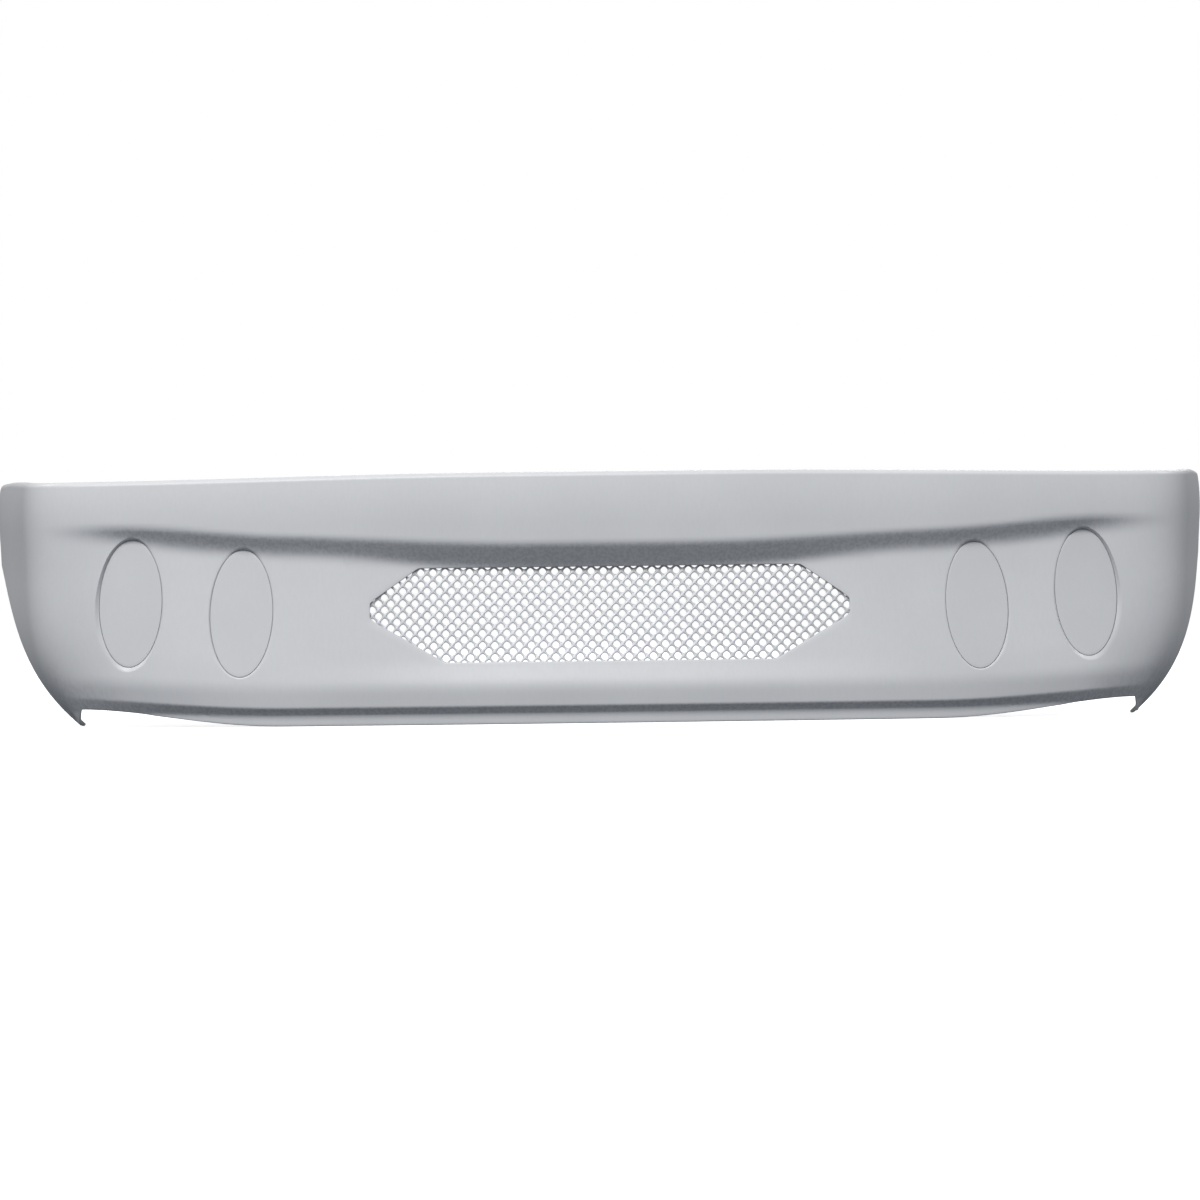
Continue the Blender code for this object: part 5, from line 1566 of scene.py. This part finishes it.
# ---------------------------------------------------------------- materials
def connect(tree, source, target):
    """Connects a socket to an input, or gives the input a value."""
    if isinstance(source, bpy.types.NodeSocket):
        tree.links.new(source, target)
    else:
        target.default_value = source


def add_node(tree, kind, inputs, **settings):
    """A shader node with its settings made and its inputs connected."""
    node = tree.nodes.new("ShaderNode" + kind)
    for name, value in settings.items():
        setattr(node, name, value)
    for key, source in inputs.items():
        connect(tree, source, node.inputs[key])
    return node


class Shader:
    """A node material built up from object-space patterns."""

    def __init__(self, name):
        self.material = bpy.data.materials.new(name)
        self.material.use_nodes = True
        self.tree = self.material.node_tree
        self.surface = self.tree.nodes["Principled BSDF"]
        self.place = add_node(self.tree, "TexCoord", {}).outputs["Object"]

    def set(self, **values):
        """Sets inputs of the surface, underscores standing for spaces."""
        for name, value in values.items():
            connect(self.tree, value, self.surface.inputs[name.replace("_", " ")])

    def pattern(self, kind, stretch, turn, **inputs):
        """Texture node on object coordinates that are turned and stretched."""
        turn = [math.radians(a) for a in turn]
        mapping = {"Vector": self.place, "Scale": stretch, "Rotation": turn}
        place = add_node(self.tree, "Mapping", mapping).outputs[0]
        return add_node(self.tree, kind, {"Vector": place, **inputs})

    def noise(self, scale, detail=4.0, stretch=(1.0, 1.0, 1.0), turn=(0.0, 0.0, 0.0)):
        """Noise pattern between 0 and 1."""
        values = {"Scale": scale, "Detail": detail, "Roughness": NOISE_ROUGH}
        return self.pattern("TexNoise", stretch, turn, **values).outputs[0]

    def cells(self, scale, stretch=(1.0, 1.0, 1.0), turn=(0.0, 0.0, 0.0)):
        """Random value of each cell of a Voronoi pattern."""
        cells = self.pattern("TexVoronoi", stretch, turn, Scale=scale)
        return add_node(self.tree, "SeparateColor", {0: cells.outputs["Color"]}).outputs[0]

    def remap(self, value, *limits):
        """Value moved from one range to another, clamped."""
        return add_node(self.tree, "MapRange", dict(enumerate((value, *limits)))).outputs[0]

    def math(self, kind, first, second):
        """Sum, product or maximum of two values."""
        return add_node(self.tree, "Math", {0: first, 1: second}, operation=kind).outputs[0]

    def blend(self, share, first, second):
        """Colour between two colours."""
        colours = [c if isinstance(c, bpy.types.NodeSocket) else (*c, 1.0) for c in (first, second)]
        inputs = {0: share, 6: colours[0], 7: colours[1]}
        return add_node(self.tree, "Mix", inputs, data_type="RGBA").outputs[2]

    def facing(self, low, high):
        """How far the surface faces downwards, 0 to 1."""
        normal = add_node(self.tree, "NewGeometry", {}).outputs["Normal"]
        split = add_node(self.tree, "SeparateXYZ", {0: normal})
        return self.remap(split.outputs[2], high, low, 0.0, 1.0)

    def bump(self, height, strength, distance):
        """Fine relief of the surface."""
        inputs = {"Height": height, "Strength": strength, "Distance": distance}
        self.set(Normal=add_node(self.tree, "Bump", inputs).outputs[0])


def gelcoat(name, tone, streak_shade_strength):
    """Satin grey gel coat: cloudy tone, fine grain, faint streak marks and painted shade on downward
    faces.
    """
    shader = Shader(name)
    cloud = shader.noise(4.5, 5.0)
    grain = shader.noise(1.0, 3.0, (250.0, 250.0, 85.0), (0.0, 8.0, 0.0))
    fine = shader.noise(1500.0, 2.0)
    light = [0.5 * v * tone for v in GEL_LIGHT]
    dark = [0.5 * v * tone for v in GEL_DARK]
    base = shader.blend(shader.remap(cloud, 0.32, 0.68, 0.0, 1.0), dark, light)
    # Painted shade: the streak colour darkens downward-facing faces strongly and other faces only
    # faintly.
    under = shader.facing(-0.65, -0.25)
    streak_marks = shader.remap(grain, 0.44, 0.58, 0.0, streak_shade_strength)
    streak_and_underside_shade = shader.math("MULTIPLY", streak_marks, shader.math("ADD", under, 0.10))
    base = shader.blend(streak_and_underside_shade, base, [v * tone for v in GEL_SHADE_STREAK])
    speck = shader.remap(fine, 0.60, 0.74, 0.0, 0.10)
    base = shader.blend(speck, base, (0.24, 0.25, 0.27))
    rough = shader.math("ADD", shader.remap(cloud, 0.3, 0.7, -0.03, 0.04), 0.44)
    rough = shader.math("ADD", rough, shader.remap(grain, 0.35, 0.65, -0.03, 0.05))
    shader.set(Base_Color=base, Roughness=rough, Metallic=0.0, IOR=1.5)
    shader.set(Coat_Weight=0.12, Coat_Roughness=0.28)
    relief = shader.math("ADD", shader.noise(75.0, 2.0), shader.remap(grain, 0.0, 1.0, 0.0, 0.12))
    shader.bump(relief, 0.12, 0.0006)
    return shader.material


def laminate(name):
    """Rough inside of the moulding: resin over crossed glass strands."""
    shader = Shader(name)
    first = shader.noise(1.0, 2.0, (60.0, 60.0, 900.0), (0.0, 35.0, 12.0))
    second = shader.noise(1.0, 2.0, (900.0, 900.0, 60.0), (0.0, 25.0, -20.0))
    third = shader.noise(1.0, 2.0, (700.0, 90.0, 90.0), (20.0, 50.0, 40.0))
    strands = shader.math("MAXIMUM", shader.math("MAXIMUM", first, second), third)
    cloud = shader.noise(14.0, 4.0)
    share = shader.remap(strands, 0.50, 0.72, 0.0, 1.0)
    base = shader.blend(share, (0.215, 0.225, 0.215), (0.36, 0.375, 0.355))
    base = shader.blend(shader.remap(cloud, 0.35, 0.7, 0.0, 0.45), base, (0.19, 0.20, 0.195))
    shader.set(Base_Color=base, Roughness=shader.remap(cloud, 0.3, 0.7, 0.42, 0.68))
    relief = shader.math("ADD", strands, shader.math("MULTIPLY", shader.noise(220.0), 0.4))
    shader.bump(relief, 0.6, 0.0012)
    return shader.material


def metal(name, light, dark, scale, stretch, rough, shine=0.9):
    """Bare metal with brushed or mottled tone and roughness."""
    shader = Shader(name)
    grain = shader.noise(scale, 4.0, stretch)
    patch = shader.cells(0.35 * scale, stretch)
    fine = shader.noise(90.0, 3.0)
    share = shader.math("MULTIPLY", shader.remap(grain, 0.3, 0.7, 0.0, 1.0), 0.7)
    share = shader.math("ADD", share, shader.math("MULTIPLY", patch, 0.3))
    base = shader.blend(share, dark, light)
    wear = shader.remap(fine, 0.3, 0.7, rough - 0.06, rough + 0.08)
    shader.set(Base_Color=base, Metallic=shine, Roughness=wear)
    shader.bump(grain, 0.15, 0.0002)
    return shader.material


def black_paint(name):
    """Semi-gloss black paint with a slight texture and dust."""
    shader = Shader(name)
    cloud = shader.noise(22.0, 5.0)
    share = shader.remap(cloud, 0.4, 0.7, 0.0, 1.0)
    base = shader.blend(share, (0.018, 0.019, 0.021), (0.05, 0.05, 0.052))
    dust = shader.remap(cloud, 0.4, 0.6, 0.1, 0.4)
    dust = shader.math("MULTIPLY", shader.facing(0.95, 0.3), dust)
    base = shader.blend(dust, base, (0.16, 0.155, 0.15))
    shader.set(Base_Color=base, Roughness=shader.remap(cloud, 0.3, 0.7, 0.34, 0.5))
    shader.bump(shader.noise(600.0, 2.0), 0.25, 0.0003)
    return shader.material


# ---------------------------------------------------------------- surroundings
def build_floor():
    """Plain pale floor that carries only the shadow."""
    steps = FLOOR_STEPS
    points = [(0.0, 0.0, FLOOR_Z)]
    faces = []
    for ring, radius in enumerate(FLOOR_RADII):
        for k in range(steps):
            turn = 2 * math.pi * k / steps
            points.append((radius * math.cos(turn), radius * math.sin(turn), FLOOR_Z))
        for k in range(steps):
            here, after = 1 + ring * steps + k, 1 + ring * steps + (k + 1) % steps
            if ring == 0:
                faces.append((0, here, after))
            else:
                faces.append((here - steps, here, after, after - steps))
    mesh = bpy.data.meshes.new("floor")
    mesh.from_pydata(points, [], faces)
    shader = Shader("floor_paper")
    tone = shader.remap(shader.noise(3.0), 0.3, 0.7, 0.0, 1.0)
    base = shader.blend(tone, (0.80, 0.80, 0.80), (0.83, 0.83, 0.83))
    shader.set(Base_Color=base, Roughness=0.9, Emission_Color=WHITE)
    shader.set(Emission_Strength=FLOOR_GLOW)
    mesh.materials.append(shader.material)
    floor = bpy.data.objects.new("floor", mesh)
    bpy.context.scene.collection.objects.link(floor)
    floor.visible_diffuse = False
    floor.visible_glossy = False


def build_world():
    """Studio sky: plain white to the camera, soft and brightest from above and in front."""
    world = bpy.data.worlds.new("studio")
    bpy.context.scene.world = world
    world.use_nodes = True
    tree = world.node_tree
    place = add_node(tree, "TexCoord", {}).outputs["Generated"]
    split = add_node(tree, "SeparateXYZ", {0: place})
    levels = []
    for axis, limits in SKY_LEVELS:
        inputs = dict(enumerate((split.outputs[axis], *limits)))
        levels.append(add_node(tree, "MapRange", inputs).outputs[0])
    product = add_node(tree, "Math", dict(enumerate(levels)), operation="MULTIPLY")
    seen = add_node(tree, "LightPath", {}).outputs["Is Camera Ray"]
    strength = add_node(tree, "Mix", {0: seen, 2: product.outputs[0], 3: 1.0})
    tint = add_node(tree, "Mix", {0: levels[1], 6: SKY_TINT, 7: WHITE}, data_type="RGBA")
    plain = add_node(tree, "Mix", {0: seen, 6: tint.outputs[2], 7: WHITE}, data_type="RGBA")
    back = tree.nodes["Background"]
    connect(tree, plain.outputs[2], back.inputs["Color"])
    connect(tree, strength.outputs[0], back.inputs["Strength"])


def build_lights():
    """Soft area lights: position, width, height, power, target."""
    for name, place, width, height, power, target in LIGHTS:
        light = bpy.data.lights.new(name, "AREA")
        light.shape = "RECTANGLE"
        light.size = width
        light.size_y = height
        light.energy = power
        obj = bpy.data.objects.new(name, light)
        obj.location = place
        direction = Vector(target) - obj.location
        obj.rotation_euler = direction.to_track_quat("-Z", "Y").to_euler()
        bpy.context.scene.collection.objects.link(obj)


def build_camera():
    """Camera in front of the cover, a little to one side."""
    data = bpy.data.cameras.new("camera")
    data.sensor_width = SENSOR
    data.lens = CAMERA_LENS
    data.clip_end = FAR
    camera = bpy.data.objects.new("camera", data)
    yaw, pitch, roll = (math.radians(a) for a in (CAMERA_YAW, CAMERA_PITCH, CAMERA_ROLL))
    level = Vector((math.sin(yaw), math.cos(yaw), 0.0))
    forward = level * math.cos(pitch) + Vector((0.0, 0.0, math.sin(pitch)))
    right = Vector((math.cos(yaw), -math.sin(yaw), 0.0))
    up = right.cross(forward)
    tilted = right * math.cos(roll) - up * math.sin(roll)
    raised = right * math.sin(roll) + up * math.cos(roll)
    turn = Matrix((tilted, raised, -forward)).transposed().to_4x4()
    camera.matrix_world = Matrix.Translation(CAMERA_PLACE) @ turn
    bpy.context.scene.collection.objects.link(camera)
    bpy.context.scene.camera = camera
    bpy.context.scene.view_settings.view_transform = "Standard"


# ---------------------------------------------------------------- assembly
def build():
    """The whole bumper cover in its studio."""
    front = gelcoat("gelcoat_skin", 1.0, 0.50)
    cover = gelcoat("gelcoat_cover", 0.97, 0.35)
    back = laminate("glass_laminate")
    mesh = metal("satin_aluminium", (0.50, 0.51, 0.53), (0.36, 0.37, 0.39), 300.0, (1, 1, 1), 0.45, 0.6)
    rail = metal("rolled_aluminium", (0.70, 0.71, 0.73), (0.54, 0.55, 0.57), 240.0, (0.08, 1, 1), 0.40)
    steel = metal("zinc_plating", (0.60, 0.62, 0.64), (0.40, 0.42, 0.45), 420.0, (1, 1, 1), 0.36)
    paint = black_paint("black_paint")
    angles = build_skin(front, back)
    build_grille(mesh, steel)
    for lamp in lamp_list():
        build_lamp(lamp, angles[lamp[0]], cover, steel)
    build_rail(rail, steel)
    for side, word in SIDES:
        build_beam_bracket(side, word, paint, steel)
        build_side_bracket(side, word, paint, steel)
    build_floor()
    build_world()
    build_lights()
    build_camera()


build()
